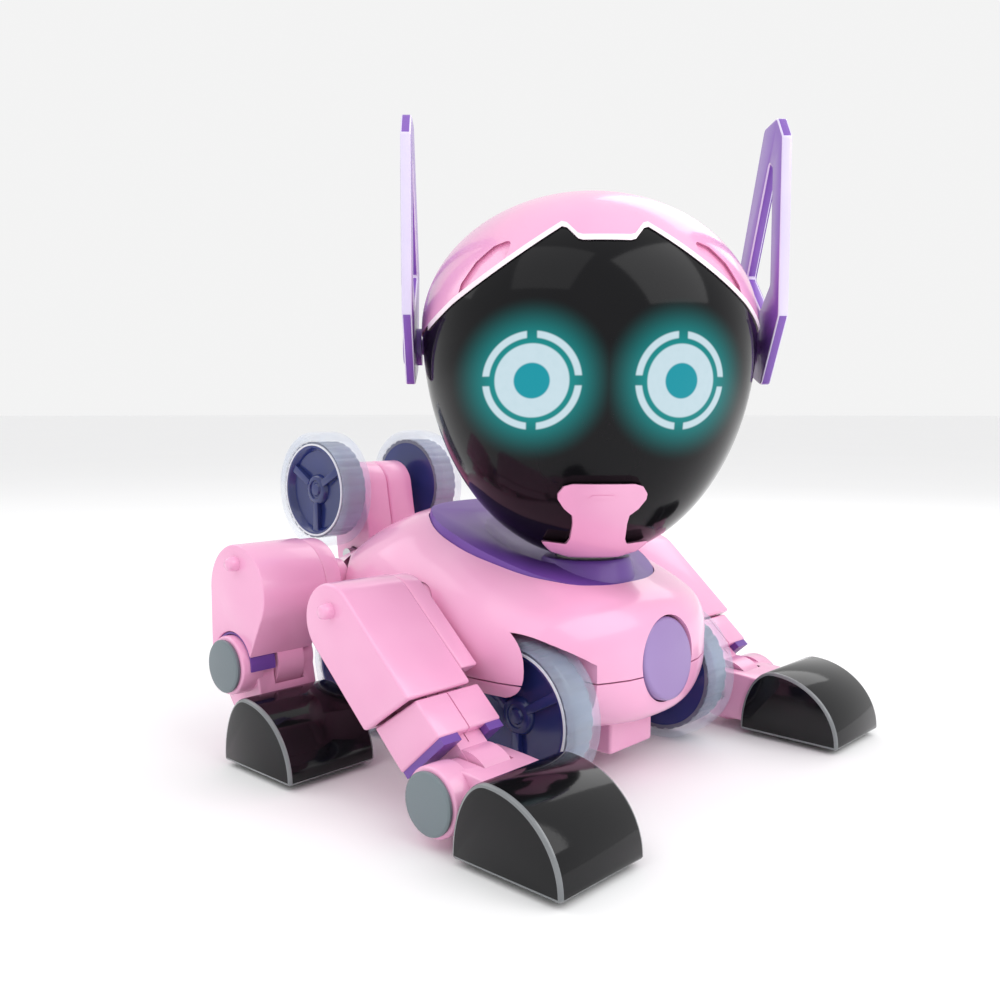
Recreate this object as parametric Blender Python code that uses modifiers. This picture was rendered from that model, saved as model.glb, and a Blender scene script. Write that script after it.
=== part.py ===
"""Robot dog toy: a drive-wheeled puppy with posable legs, a turning head, ear plates and a wheeled tail.

Units are metres. The dog faces -Y, its left side is +X, +Z is up, and it stands on z = 0
with the origin under the middle of its bounding box.
"""

import math

import bmesh
import bpy
from mathutils import Matrix, Vector

mm = 0.001

# Fits and walls
gap = 0.3 * mm            # between pieces that only touch
turning_gap = 0.5 * mm    # round pieces that turn or slide
shell_wall = 2.4 * mm
leg_wall = 2.4 * mm

# Overall length, and the clearance that lets the wheels carry the toy
half_length = 112.6 * mm
sole_clearance = 2.0 * mm

# Drive wheels
drive_tyre_radius = 27.8 * mm
drive_drum_radius = drive_tyre_radius - 3.8 * mm
drive_tyre_sides = 29
front_wheel_inner = 36.0 * mm
rear_wheel_inner = 29.5 * mm
drive_wheel_width = 14.2 * mm
front_axle_y = -48.0 * mm
rear_axle_y = 47.0 * mm
axle_radius = 1.5 * mm
arch_clearance = 2.4 * mm
well_margin = 2.5 * mm      # room beyond each wheel's outer face

# Tail wheels and arm
tail_tyre_radius = 25.6 * mm
tail_drum_radius = tail_tyre_radius - 4.4 * mm
tail_tyre_sides = 28
tail_wheel_inner = 20.9 * mm
tail_wheel_width = 12.8 * mm
tail_axle_z = 98.0 * mm
tail_pivot_y = 83.0 * mm
tail_pivot_z = 68.0 * mm
tail_arm_radius = 12.5 * mm
tail_arm_half_width = 14.5 * mm
tail_pin_radius = 3.0 * mm
tail_pin_reach = 18.5 * mm

# Head
head_y = -40.0 * mm
head_turn = math.radians(-45.0)
head_half_width = 62.0 * mm
head_front = 60.0 * mm
head_back = 57.0 * mm
head_widest_z = 162.0 * mm
head_top_z = 212.0 * mm
head_bottom_z = 77.0 * mm
visor_back = -6.0 * mm     # how far behind the head's middle the visor ends
brow_side_z = 160.0 * mm
brow_top_z = 194.0 * mm
brow_half_width = 13.0 * mm
brow_tab_depth = 5.0 * mm
snout_lift = 2.6 * mm

# Ears
ear_thickness = 3.6 * mm
ear_side = head_half_width + 4.0 * mm
ear_pivot_forward = -12.0 * mm
ear_pivot_z = 157.0 * mm
ear_boss_radius = 7.0 * mm

# Neck
neck_radius = 11.5 * mm
collar_front = (-60.0 * mm, 69.0 * mm)
collar_back = (19.0 * mm, 96.0 * mm)
collar_half_width = 40.0 * mm
collar_thickness = 7.0 * mm
collar_dish_radius = 62.0 * mm
collar_ring_base = 19.0 * mm
collar_ring_radius = 16.5 * mm
collar_ring_top = 78.2 * mm
collar_dish_depth = 5.5 * mm

# Chest button
button_radius = 15.0 * mm
button_y = -75.0 * mm
button_z = 44.0 * mm
button_tilt = math.radians(8.0)
button_proud = 3.0 * mm
button_depth = 6.0 * mm

# Battery box under the chest
box_half_width = 13.0 * mm
box_front = -62.0 * mm
box_back = -16.0 * mm
box_bottom = 8.0 * mm
box_top = 24.0 * mm
box_wall = 2.0 * mm

# Power switch under the belly
switch_width = 5.0 * mm
switch_length = 6.0 * mm
switch_y = 11.0 * mm
switch_travel = 4.0 * mm
switch_bottom = 17.0 * mm

# Legs: widths are distances from the middle plane
cover_outer = 96.0 * mm
cover_inner = 68.0 * mm
plate_inner = 60.0 * mm
shin_outer = 92.5 * mm
shin_inner = 64.5 * mm
tongue_inner = 72.0 * mm
tongue_outer = 84.0 * mm
hip_boss_radius = 8.0 * mm
hip_boss_inner = 49.0 * mm
foot_inner = 66.0 * mm
foot_outer = 91.6 * mm
boss_outer = 98.4 * mm
ankle_boss_radius = 11.2 * mm
ankle_cap_radius = 10.0 * mm
ankle_cap_thickness = 1.6 * mm
ankle_pin_radius = 2.8 * mm
ankle_tongue_radius = 8.0 * mm

# Front leg, seen from the side
front_hip = (-6.0 * mm, 62.0 * mm)
front_leg_slope = math.radians(42.0)
thigh_radius = 13.0 * mm
thigh_length = 42.0 * mm
ankle_distance = 71.0 * mm
shin_length = ankle_distance - ankle_boss_radius - gap

# Rear leg, seen from the side
rear_hip = (50.0 * mm, 65.0 * mm)
rear_thigh_radius = 18.0 * mm
rear_ankle = (54.0 * mm, 37.0 * mm)

# Shoes
shoe_inner = 63.5 * mm
shoe_outer = 101.5 * mm
shoe_length = 42.0 * mm
shoe_height = 26.0 * mm
shoe_back_share = 0.34
rear_shoe_toe_y = 10.0 * mm

# Body sections: y, half width, bottom z, top z, all in millimetres
body_sections = (
    (-76.5, 21.5, 26.0, 60.0),
    (-71.5, 34.0, 22.0, 65.5),
    (-60.0, 50.0, 19.5, 70.5),
    (-38.0, 57.0, 18.5, 79.0),
    (-8.0, 57.5, 18.0, 89.5),
    (16.0, 56.5, 18.0, 95.5),
    (38.0, 54.0, 18.5, 90.0),
    (60.0, 48.0, 20.5, 78.0),
    (82.0, 37.0, 27.0, 70.0),
    (95.0, 20.0, 38.0, 61.0),
)
section_power = 0.8
channel_step_y = 0.0      # where the inner channel changes from the front wheels to the rear
skirt_bottoms = {"front": 35.0 * mm, "rear": 53.5 * mm}
body_front_y = -78.5 * mm
body_back_y = 99.0 * mm
seam_low_z = 40.0 * mm
seam_high_z = 51.0 * mm
seam_step_front = -27.0 * mm
seam_step_back = -5.0 * mm


def clear_scene():
    for thing in list(bpy.data.objects):
        bpy.data.objects.remove(thing, do_unlink=True)


clear_scene()
parts = bpy.data.collections.new("robot_dog")
cutters = bpy.data.collections.new("cutters")
bpy.context.scene.collection.children.link(parts)
bpy.context.scene.collection.children.link(cutters)


def plastic(name, colour, roughness, alpha=1.0, metallic=0.0):
    material = bpy.data.materials.new(name)
    material.use_nodes = True
    shader = material.node_tree.nodes["Principled BSDF"]
    shader.inputs["Base Color"].default_value = (*colour, 1.0)
    shader.inputs["Roughness"].default_value = roughness
    shader.inputs["Metallic"].default_value = metallic
    shader.inputs["Alpha"].default_value = alpha
    material.diffuse_color = (*colour, alpha)
    return material


pink = plastic("pink_plastic", (0.87, 0.42, 0.66), 0.25)
purple = plastic("purple_plastic", (0.16, 0.06, 0.36), 0.3)
lilac = plastic("lilac_button", (0.33, 0.23, 0.50), 0.3)
navy = plastic("navy_hub", (0.015, 0.025, 0.13), 0.2)
grey = plastic("grey_cap", (0.16, 0.20, 0.24), 0.4)
black = plastic("black_gloss", (0.003, 0.003, 0.004), 0.08)
clear = plastic("clear_tyre", (0.75, 0.83, 0.95), 0.1, alpha=0.35)
inner = plastic("inner_parts", (0.55, 0.55, 0.52), 0.5)
board_green = plastic("board_green", (0.02, 0.20, 0.07), 0.4)
steel = plastic("steel", (0.6, 0.6, 0.62), 0.25, metallic=1.0)


def keep(name, mesh, material=None):
    """Makes the mesh a part, or a cutter when it has no material."""
    thing = bpy.data.objects.new(name, mesh)
    if material:
        mesh.materials.append(material)
        parts.objects.link(thing)
    else:
        thing.hide_render = True
        thing.display_type = "WIRE"
        cutters.objects.link(thing)
    return thing


def from_bmesh(name, shape, material=None):
    bmesh.ops.recalc_face_normals(shape, faces=shape.faces)
    mesh = bpy.data.meshes.new(name)
    shape.to_mesh(mesh)
    shape.free()
    return keep(name, mesh, material)


def combine(target, other, operation):
    step = target.modifiers.new(operation.lower(), "BOOLEAN")
    step.operation = operation
    step.solver = "EXACT"
    step.object = other
    return target


def cut(target, *others):
    for other in others:
        combine(target, other, "DIFFERENCE")
    return target


def join(target, *others):
    for other in others:
        combine(target, other, "UNION")
    return target


def block(name, low, high, material=None):
    shape = bmesh.new()
    size = Vector(high) - Vector(low)
    middle = (Vector(high) + Vector(low)) / 2
    bmesh.ops.create_cube(
        shape, size=1.0, matrix=Matrix.Translation(middle) @ Matrix.Diagonal((*size, 1.0))
    )
    return from_bmesh(name, shape, material)


def drum(name, radius, start, end, material=None, sides=24, end_radius=None):
    """A cylinder, or a cone when end_radius is given, from one point to the other."""
    start, end = Vector(start), Vector(end)
    along = end - start
    turn = along.to_track_quat("Z", "Y").to_matrix().to_4x4()
    shape = bmesh.new()
    bmesh.ops.create_cone(
        shape,
        cap_ends=True,
        segments=sides,
        radius1=radius,
        radius2=radius if end_radius is None else end_radius,
        depth=along.length,
        matrix=Matrix.Translation((start + end) / 2) @ turn,
    )
    return from_bmesh(name, shape, material)


def crosswise(name, radius, x_start, x_end, y, z, material=None, sides=24):
    """A cylinder along X."""
    low, high = sorted((x_start, x_end))
    return drum(name, radius, (low, y, z), (high, y, z), material, sides)


def slab(name, outline, x_start, x_end, material=None):
    """A flat outline in (y, z), given width along X."""
    low, high = sorted((x_start, x_end))
    return extruded(
        name,
        outline,
        high - low,
        Matrix(((0, 0, 1, (low + high) / 2), (1, 0, 0, 0), (0, 1, 0, 0), (0, 0, 0, 1))),
        material,
    )


def extruded(name, outline, depth, place, material=None):
    """A flat outline in the placed frame's XY plane, with depth along its Z, centred."""
    curve = bpy.data.curves.new(name, "CURVE")
    curve.dimensions = "2D"
    curve.fill_mode = "BOTH"
    curve.extrude = depth / 2
    line = curve.splines.new("POLY")
    line.points.add(len(outline) - 1)
    for point, (across, up) in zip(line.points, outline):
        point.co = (across, up, 0.0, 1.0)
    line.use_cyclic_u = True
    flat = bpy.data.objects.new(name + "_outline", curve)
    parts.objects.link(flat)
    bpy.context.view_layer.update()
    mesh = bpy.data.meshes.new_from_object(
        flat.evaluated_get(bpy.context.evaluated_depsgraph_get())
    )
    bpy.data.objects.remove(flat)
    bpy.data.curves.remove(curve)
    mesh.name = name
    shape = bmesh.new()
    shape.from_mesh(mesh)
    bmesh.ops.remove_doubles(shape, verts=shape.verts, dist=0.001 * mm)
    bmesh.ops.transform(shape, matrix=place, verts=shape.verts)
    bpy.data.meshes.remove(mesh)
    return from_bmesh(name, shape, material)


def arc(centre, radius, start, end, count):
    """Points on a circle in (y, z), angles in degrees, 0 towards the tail and 90 up."""
    if not isinstance(radius, tuple):
        radius = (radius, radius)
    points = []
    for step in range(count + 1):
        angle = math.radians(start + (end - start) * step / count)
        points.append(
            (
                centre[0] + radius[0] * math.cos(angle),
                centre[1] + radius[1] * math.sin(angle),
            )
        )
    return points


def grown(outline, amount):
    """The closed outline, moved out by the amount along its corners' normals."""
    area = sum(
        a[0] * b[1] - b[0] * a[1] for a, b in zip(outline, outline[1:] + outline[:1])
    )
    side = 1.0 if area > 0 else -1.0
    moved = []
    for before, here, after in zip(
        outline[-1:] + outline[:-1], outline, outline[1:] + outline[:1]
    ):
        into = (Vector(here) - Vector(before)).normalized()
        out = (Vector(after) - Vector(here)).normalized()
        normal_in = Vector((into.y, -into.x)) * side
        normal_out = Vector((out.y, -out.x)) * side
        corner = normal_in + normal_out
        corner = corner * (amount * 2.0 / corner.length_squared)
        moved.append((here[0] + corner.x, here[1] + corner.y))
    return moved


def smooth(sections, y):
    """The section's sizes at y, on a smooth curve through the sections."""
    for index in range(len(sections) - 1):
        if y <= sections[index + 1][0]:
            break
    here, after = sections[index], sections[index + 1]
    before = sections[max(index - 1, 0)]
    beyond = sections[min(index + 2, len(sections) - 1)]
    span = after[0] - here[0]
    share = (y - here[0]) / span
    values = []
    for column in (1, 2, 3):
        slope_here = (after[column] - before[column]) / (after[0] - before[0]) * span
        slope_after = (beyond[column] - here[column]) / (beyond[0] - here[0]) * span
        square, cube = share**2, share**3
        values.append(
            (2 * cube - 3 * square + 1) * here[column]
            + (cube - 2 * square + share) * slope_here
            + (3 * square - 2 * cube) * after[column]
            + (cube - square) * slope_after
        )
    return values


def body_form(name, inset, material=None, rings=15, around=24):
    """The trunk, made smaller by the inset: rings of points along its length, bridged."""
    shape = bmesh.new()
    loops = []
    first, last = body_sections[0][0], body_sections[-1][0]
    for ring in range(rings):
        y = first + (last - first) * ring / (rings - 1)
        width, low, high = (value * mm for value in smooth(body_sections, y))
        width -= inset
        low, high = low + inset, high - inset
        y = y * mm
        if ring == 0:
            y += inset
        if ring == rings - 1:
            y -= inset
        loop = []
        for step in range(around):
            angle = 2 * math.pi * step / around
            across, up = math.cos(angle), math.sin(angle)
            across = math.copysign(abs(across) ** section_power, across)
            up = math.copysign(abs(up) ** section_power, up)
            middle, half = (low + high) / 2, (high - low) / 2
            loop.append(shape.verts.new((width * across, y, middle + half * up)))
        loops.append(loop)
    for before, after in zip(loops, loops[1:]):
        for step in range(around):
            following = (step + 1) % around
            shape.faces.new(
                (before[step], before[following], after[following], after[step])
            )
    for loop, tip_y in ((loops[0], body_front_y + inset), (loops[-1], body_back_y - inset)):
        tip = shape.verts.new(
            (0.0, tip_y, sum(vertex.co.z for vertex in loop) / len(loop))
        )
        for step in range(around):
            shape.faces.new((loop[step], loop[(step + 1) % around], tip))
    bmesh.ops.triangulate(shape, faces=shape.faces)
    return from_bmesh(name, shape, material)


head_frame = Matrix.Translation((0.0, head_y, 0.0)) @ Matrix.Rotation(head_turn, 4, "Z")


def head_form(name, inset, material=None, around=32, rings=18):
    """The head: an egg, widest above its middle, made smaller by the inset."""
    shape = bmesh.new()
    bmesh.ops.create_uvsphere(shape, u_segments=around, v_segments=rings, radius=1.0)
    rise, fall = head_top_z - head_widest_z, head_widest_z - head_bottom_z
    for vertex in shape.verts:
        across, along, up = vertex.co
        depth = head_front if along < 0 else head_back
        height = rise if up > 0 else fall
        vertex.co = (
            across * (head_half_width - inset),
            along * (depth - inset),
            head_widest_z + up * (height - inset),
        )
    bmesh.ops.transform(shape, matrix=head_frame, verts=shape.verts)
    return from_bmesh(name, shape, material)


def head_front_prism(name, outline, near, far, material=None):
    """An outline in (across, z) on the head's front, swept from near to far ahead of its axis."""
    place = head_frame @ Matrix(
        ((1, 0, 0, 0), (0, 0, -1, -(near + far) / 2), (0, 1, 0, 0), (0, 0, 0, 1))
    )
    return extruded(name, outline, far - near, place, material)


def mirrored_outline(half):
    """A closed outline from its right half, given from the top down."""
    return half + [(-across, up) for across, up in reversed(half)]


axle_height = drive_tyre_radius
arch_radius = drive_tyre_radius + arch_clearance
far_side = 150.0 * mm
axles = {"front": front_axle_y, "rear": rear_axle_y}
wheel_inner = {"front": front_wheel_inner, "rear": rear_wheel_inner}


def wheel_rooms():
    """Cutters for the four wheel wells, open below their skirts."""
    made = []
    reach = arch_radius + gap
    for side, word in ((1, "left"), (-1, "right")):
        for place, y in axles.items():
            well_outer = wheel_inner[place] + drive_wheel_width + well_margin
            made.append(
                crosswise(
                    f"well_{place}_{word}",
                    arch_radius,
                    side * (wheel_inner[place] - arch_clearance),
                    side * well_outer,
                    y,
                    axle_height,
                )
            )
            low, high = sorted((side * (well_outer - gap), side * far_side))
            made.append(
                block(
                    f"skirt_{place}_{word}",
                    (low, y - reach, -far_side),
                    (high, y + reach, skirt_bottoms[place]),
                )
            )
    return made


def body_hollow():
    """The space inside the shells: full width above the wells, a channel between them."""
    hollow = body_form("body_hollow", shell_wall)
    ceiling = axle_height + arch_radius + shell_wall
    spans = {"front": (-far_side, channel_step_y), "rear": (channel_step_y, far_side)}
    for side, word in ((1, "left"), (-1, "right")):
        for place, (start, end) in spans.items():
            channel = wheel_inner[place] - arch_clearance - shell_wall
            low, high = sorted((side * channel, side * far_side))
            flank = block(f"flank_{place}_{word}", (low, start, -far_side), (high, end, ceiling))
            cut(hollow, flank)
    return hollow


def seam_outline(shift, above):
    """Everything above or below the seam between the shells, seen from the side."""
    far = 200.0 * mm
    edge = [
        (-far, seam_low_z + shift),
        (seam_step_front, seam_low_z + shift),
        (seam_step_back, seam_high_z + shift),
        (far, seam_high_z + shift),
    ]
    level = far if above else -far
    return edge + [(far, level), (-far, level)]


collar_slope = math.atan2(
    collar_back[1] - collar_front[1], collar_back[0] - collar_front[0]
)
collar_length = math.hypot(
    collar_back[1] - collar_front[1], collar_back[0] - collar_front[0]
)
collar_frame = (
    Matrix.Translation((0.0, *collar_front)) @ Matrix.Rotation(collar_slope, 4, "X")
)


def collar_outline(growth):
    """The collar from above: a rounded shield with its narrow end at the chest."""
    half = [
        (0.27 * collar_half_width, 0.0),
        (0.62 * collar_half_width, 0.07 * collar_length),
        (0.88 * collar_half_width, 0.24 * collar_length),
        (collar_half_width, 0.52 * collar_length),
        (0.95 * collar_half_width, 0.80 * collar_length),
        (0.68 * collar_half_width, collar_length),
    ]
    return grown(mirrored_outline(half), growth)


def tail_slot():
    """Room in the back for the tail arm's foot and its pin."""
    reach = tail_arm_half_width + 1.2 * mm
    slot = crosswise("tail_slot", tail_arm_radius + 1.2 * mm, -reach, reach, tail_pivot_y,
                     tail_pivot_z)
    reach = tail_pin_reach + gap
    return slot, crosswise("tail_pin_hole", tail_pin_radius + gap, -reach, reach, tail_pivot_y,
                           tail_pivot_z, sides=12)


def body_shells():
    hollow = body_hollow()
    rooms = wheel_rooms()
    collar_seat = extruded(
        "collar_seat",
        collar_outline(gap),
        60.0 * mm,
        collar_frame @ Matrix.Translation((0, 0, 30.0 * mm - collar_thickness - gap)),
    )
    hips = [
        crosswise(
            f"hip_hole_{place}",
            hip_boss_radius + turning_gap,
            -far_side,
            far_side,
            *hip,
        )
        for place, hip in (("front", front_hip), ("rear", rear_hip))
    ]
    axle_holes = [
        crosswise(f"axle_hole_{place}", axle_radius + turning_gap, -far_side, far_side, y,
                  axle_height, sides=12)
        for place, y in axles.items()
    ]
    button_hole = drum(
        "button_hole",
        button_radius + turning_gap,
        button_point(-20.0 * mm),
        button_point(20.0 * mm),
    )
    upper = body_form("body_upper_shell", 0.0, pink)
    lower = body_form("body_lower_shell", 0.0, pink)
    for shell in (upper, lower):
        cut(shell, hollow, *rooms, button_hole)
    cut(upper, collar_seat, *tail_slot(), *hips)
    cut(upper, slab("below_seam", seam_outline(gap / 2, False), -far_side, far_side))
    cut(
        lower,
        slab("above_seam", seam_outline(-gap / 2, True), -far_side, far_side),
        block(
            "box_hole",
            (-box_half_width - gap, box_front - gap, 0.0),
            (box_half_width + gap, box_back + gap, axle_height),
        ),
        block(
            "switch_slot",
            (-switch_width / 2 - turning_gap, switch_y - switch_length / 2 - turning_gap, 0.0),
            (
                switch_width / 2 + turning_gap,
                switch_y + switch_length / 2 + switch_travel + turning_gap,
                30.0 * mm,
            ),
        ),
        *axle_holes,
    )


def neck_collar():
    """A tilted shield with a raised ring under the head."""
    collar = extruded(
        "neck_collar",
        collar_outline(0.0),
        collar_thickness,
        collar_frame @ Matrix.Translation((0, 0, -collar_thickness / 2)),
        purple,
    )
    dish = bmesh.new()
    bmesh.ops.create_uvsphere(dish, u_segments=24, v_segments=16, radius=collar_dish_radius)
    middle = collar_frame @ Vector(
        (0.0, 0.5 * collar_length, collar_dish_radius - collar_dish_depth)
    )
    bmesh.ops.translate(dish, vec=middle, verts=dish.verts)
    cut(collar, from_bmesh("collar_dish", dish))
    ring = drum(
        "collar_ring",
        collar_ring_base,
        (0.0, head_y, collar_front[1] - 2.0 * mm),
        (0.0, head_y, collar_ring_top),
        end_radius=collar_ring_radius,
    )
    join(collar, ring)
    cut(
        collar,
        drum(
            "collar_hole",
            neck_radius + turning_gap,
            (0.0, head_y, 20.0 * mm),
            (0.0, head_y, 120.0 * mm),
        ),
    )


def neck_post():
    post = drum(
        "neck_post",
        neck_radius,
        (0.0, head_y, 48.0 * mm),
        (0.0, head_y, head_bottom_z + 8.0 * mm),
        inner,
    )
    flange = drum(
        "neck_flange", 15.0 * mm, (0.0, head_y, 46.0 * mm), (0.0, head_y, 49.0 * mm)
    )
    join(post, flange)


def button_point(outward):
    """A point on the button's axis, measured out of the chest."""
    return (
        0.0,
        button_y - outward * math.cos(button_tilt),
        button_z + outward * math.sin(button_tilt),
    )


def chest_button():
    button = drum(
        "chest_button",
        button_radius,
        button_point(button_proud - button_depth),
        button_point(button_proud),
        lilac,
    )
    edge = button.modifiers.new("edge", "BEVEL")
    edge.width = 0.8 * mm
    edge.segments = 1
    edge.angle_limit = math.radians(40)


def battery_box():
    tray = block(
        "battery_box",
        (-box_half_width, box_front, box_bottom),
        (box_half_width, box_back, box_top),
        pink,
    )
    pocket = block(
        "box_pocket",
        (-box_half_width + box_wall, box_front + box_wall, box_bottom + box_wall),
        (box_half_width - box_wall, box_back - box_wall, box_top + 10.0 * mm),
    )
    screw_y = box_back - 6.0 * mm
    screw_seat = drum(
        "screw_seat", 2.6 * mm + gap, (0.0, screw_y, 0.0),
        (0.0, screw_y, box_bottom + 1.0 * mm), sides=12,
    )
    screw_bore = drum(
        "screw_bore", 1.3 * mm + gap, (0.0, screw_y, 0.0), (0.0, screw_y, box_top), sides=12
    )
    cut(tray, pocket, screw_seat, screw_bore)
    screw = drum(
        "battery_box_screw", 2.6 * mm, (0.0, screw_y, box_bottom - 0.4 * mm),
        (0.0, screw_y, box_bottom + 1.0 * mm - gap), steel, sides=12,
    )
    shank = drum(
        "screw_shank", 1.3 * mm, (0.0, screw_y, box_bottom), (0.0, screw_y, box_bottom + 3.0 * mm),
        sides=12,
    )
    slot = block(
        "screw_slot",
        (-3.0 * mm, screw_y - 0.4 * mm, box_bottom - 1.0 * mm),
        (3.0 * mm, screw_y + 0.4 * mm, box_bottom),
    )
    join(screw, shank)
    cut(screw, slot)
    block(
        "battery_pack",
        (-box_half_width + box_wall + gap, box_front + box_wall + gap, box_bottom + box_wall + gap),
        (box_half_width - box_wall - gap, screw_y - 4.0 * mm, box_top - 1.0 * mm),
        steel,
    )


def inner_parts():
    for place, y, half_width, low, high in (
        ("front", front_axle_y + 5.0 * mm, box_half_width - 1.0 * mm, box_top + 0.8 * mm, 43.0 * mm),
        ("rear", rear_axle_y - 2.0 * mm, 14.0 * mm, 24.5 * mm, 43.0 * mm),
    ):
        gearbox = block(
            f"gearbox_{place}", (-half_width, y - 8.5 * mm, low), (half_width, y + 8.5 * mm, high),
            inner,
        )
        cut(
            gearbox,
            crosswise(f"gearbox_bore_{place}", axle_radius + turning_gap, -far_side, far_side,
                      axles[place], axle_height, sides=12),
        )
        reach = wheel_inner[place] + drive_wheel_width - 2.0 * mm
        crosswise(f"axle_{place}", axle_radius, -reach, reach, axles[place], axle_height, steel,
                  sides=12)
    block("circuit_board", (-22.0 * mm, -20.0 * mm, 53.0 * mm), (22.0 * mm, 36.0 * mm, 54.6 * mm),
          board_green)
    drum("speaker", 14.0 * mm, (0.0, 12.0 * mm, 56.0 * mm), (0.0, 12.0 * mm, 62.0 * mm), inner,
         end_radius=9.0 * mm)
    knob = block(
        "power_switch",
        (-switch_width / 2, switch_y - switch_length / 2, switch_bottom),
        (switch_width / 2, switch_y + switch_length / 2, 24.0 * mm),
        black,
    )
    join(
        knob,
        block(
            "switch_foot",
            (-switch_width / 2 - 2.0 * mm, switch_y - switch_length / 2, 22.0 * mm),
            (switch_width / 2 + 2.0 * mm, switch_y + switch_length / 2, 25.0 * mm),
        ),
    )


def brow_outline(shift):
    """The visor's opening under the helmet's brow, in (across, z) seen from the front."""
    wide = 90.0 * mm
    slope = (brow_top_z - brow_side_z) / (head_half_width - brow_half_width)
    return mirrored_outline(
        [
            (0.55 * brow_half_width, brow_top_z - brow_tab_depth + shift),
            (brow_half_width, brow_top_z + shift),
            (head_half_width, brow_side_z + shift),
            (wide, brow_side_z - slope * (wide - head_half_width) + shift),
            (wide, 0.0),
        ]
    )


def snout_outline():
    """Muzzle plate and chin strip: a mushroom on a stem that widens along the chin."""
    return mirrored_outline(
        [
            (12.6 * mm, 108.0 * mm),
            (14.8 * mm, 105.5 * mm),
            (14.4 * mm, 102.5 * mm),
            (9.2 * mm, 96.5 * mm),
            (9.6 * mm, 88.5 * mm),
            (20.0 * mm, 86.5 * mm),
            (14.0 * mm, 80.0 * mm),
        ]
    )


def head_pieces():
    hollow = head_form("head_hollow", shell_wall)
    neck_hole = drum(
        "head_neck_hole",
        neck_radius + turning_gap,
        (0.0, head_y, 60.0 * mm),
        (0.0, head_y, head_bottom_z + 20.0 * mm),
    )
    ear_holes = []
    for side, word in ((1, "left"), (-1, "right")):
        inner_end = head_frame @ Vector((side * 50.0 * mm, -ear_pivot_forward, ear_pivot_z))
        outer_end = head_frame @ Vector((side * 80.0 * mm, -ear_pivot_forward, ear_pivot_z))
        ear_holes.append(
            drum(f"ear_hole_{word}", 3.0 * mm + turning_gap, inner_end, outer_end, sides=12)
        )
    rear = head_form("head_rear_shell", 0.0, pink)
    cut(rear, hollow)
    cut(rear, head_front_prism("visor_opening", brow_outline(gap / 2), visor_back - gap / 2,
                               90.0 * mm))
    cut(rear, neck_hole, *ear_holes)

    visor = head_form("face_visor", 0.0, black)
    cut(visor, hollow)
    combine(
        visor,
        head_front_prism("visor_region", brow_outline(-gap / 2), visor_back + gap / 2, 90.0 * mm),
        "INTERSECT",
    )
    cut(visor, neck_hole)

    snout = head_form("snout_piece", -snout_lift, pink)
    combine(
        snout,
        head_front_prism("snout_region", snout_outline(), 20.0 * mm, 90.0 * mm),
        "INTERSECT",
    )
    cut(snout, head_form("snout_back", -gap))


def eye_board():
    low = (-36.0 * mm, -38.0 * mm, 128.0 * mm)
    high = (36.0 * mm, -36.0 * mm, 162.0 * mm)
    board = block("eye_light_board", low, high, board_green)
    for side in (1, -1):
        lamp = drum(
            f"eye_lamp_{side + 1}", 13.0 * mm,
            (side * 22.0 * mm, -37.0 * mm, 145.0 * mm), (side * 22.0 * mm, -42.0 * mm, 145.0 * mm),
        )
        join(board, lamp)
        lamp.matrix_world = head_frame
    board.matrix_world = head_frame


def ears():
    """Upright plates with a cut-out, on a boss at each side of the head; (forward, z) outlines."""
    plate_outline = [
        (17.0 * mm, 235.5 * mm),
        (24.0 * mm, 227.5 * mm),
        (24.0 * mm, 166.0 * mm),
        (4.0 * mm, 142.0 * mm),
        (-17.0 * mm, 148.0 * mm),
        (-31.0 * mm, 186.0 * mm),
        (2.0 * mm, 235.5 * mm),
    ]
    window_outline = [
        (9.0 * mm, 222.0 * mm),
        (13.0 * mm, 219.0 * mm),
        (13.0 * mm, 178.0 * mm),
        (1.0 * mm, 170.0 * mm),
        (-18.0 * mm, 184.0 * mm),
    ]
    # an outline in (forward, z) on a plane across the head's side
    side_plane = Matrix(((0, 0, 1, 0), (-1, 0, 0, 0), (0, 1, 0, 0), (0, 0, 0, 1)))
    for side, word in ((1, "left"), (-1, "right")):
        place = head_frame @ Matrix.Translation((side * ear_side, 0, 0)) @ side_plane
        plate = extruded(f"ear_{word}", plate_outline, ear_thickness, place, purple)
        window = extruded(f"ear_window_{word}", window_outline, 2 * ear_thickness, place)
        across = {
            "boss": (ear_side - ear_thickness, ear_side + ear_thickness, ear_boss_radius, 16),
            "stub": (ear_side - 12.0 * mm, ear_side, 3.0 * mm, 12),
        }
        cut(plate, window)
        for kind, (start, end, radius, sides) in across.items():
            piece = drum(
                f"ear_{kind}_{word}",
                radius,
                head_frame @ Vector((side * start, -ear_pivot_forward, ear_pivot_z)),
                head_frame @ Vector((side * end, -ear_pivot_forward, ear_pivot_z)),
                sides=sides,
            )
            join(plate, piece)


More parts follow.
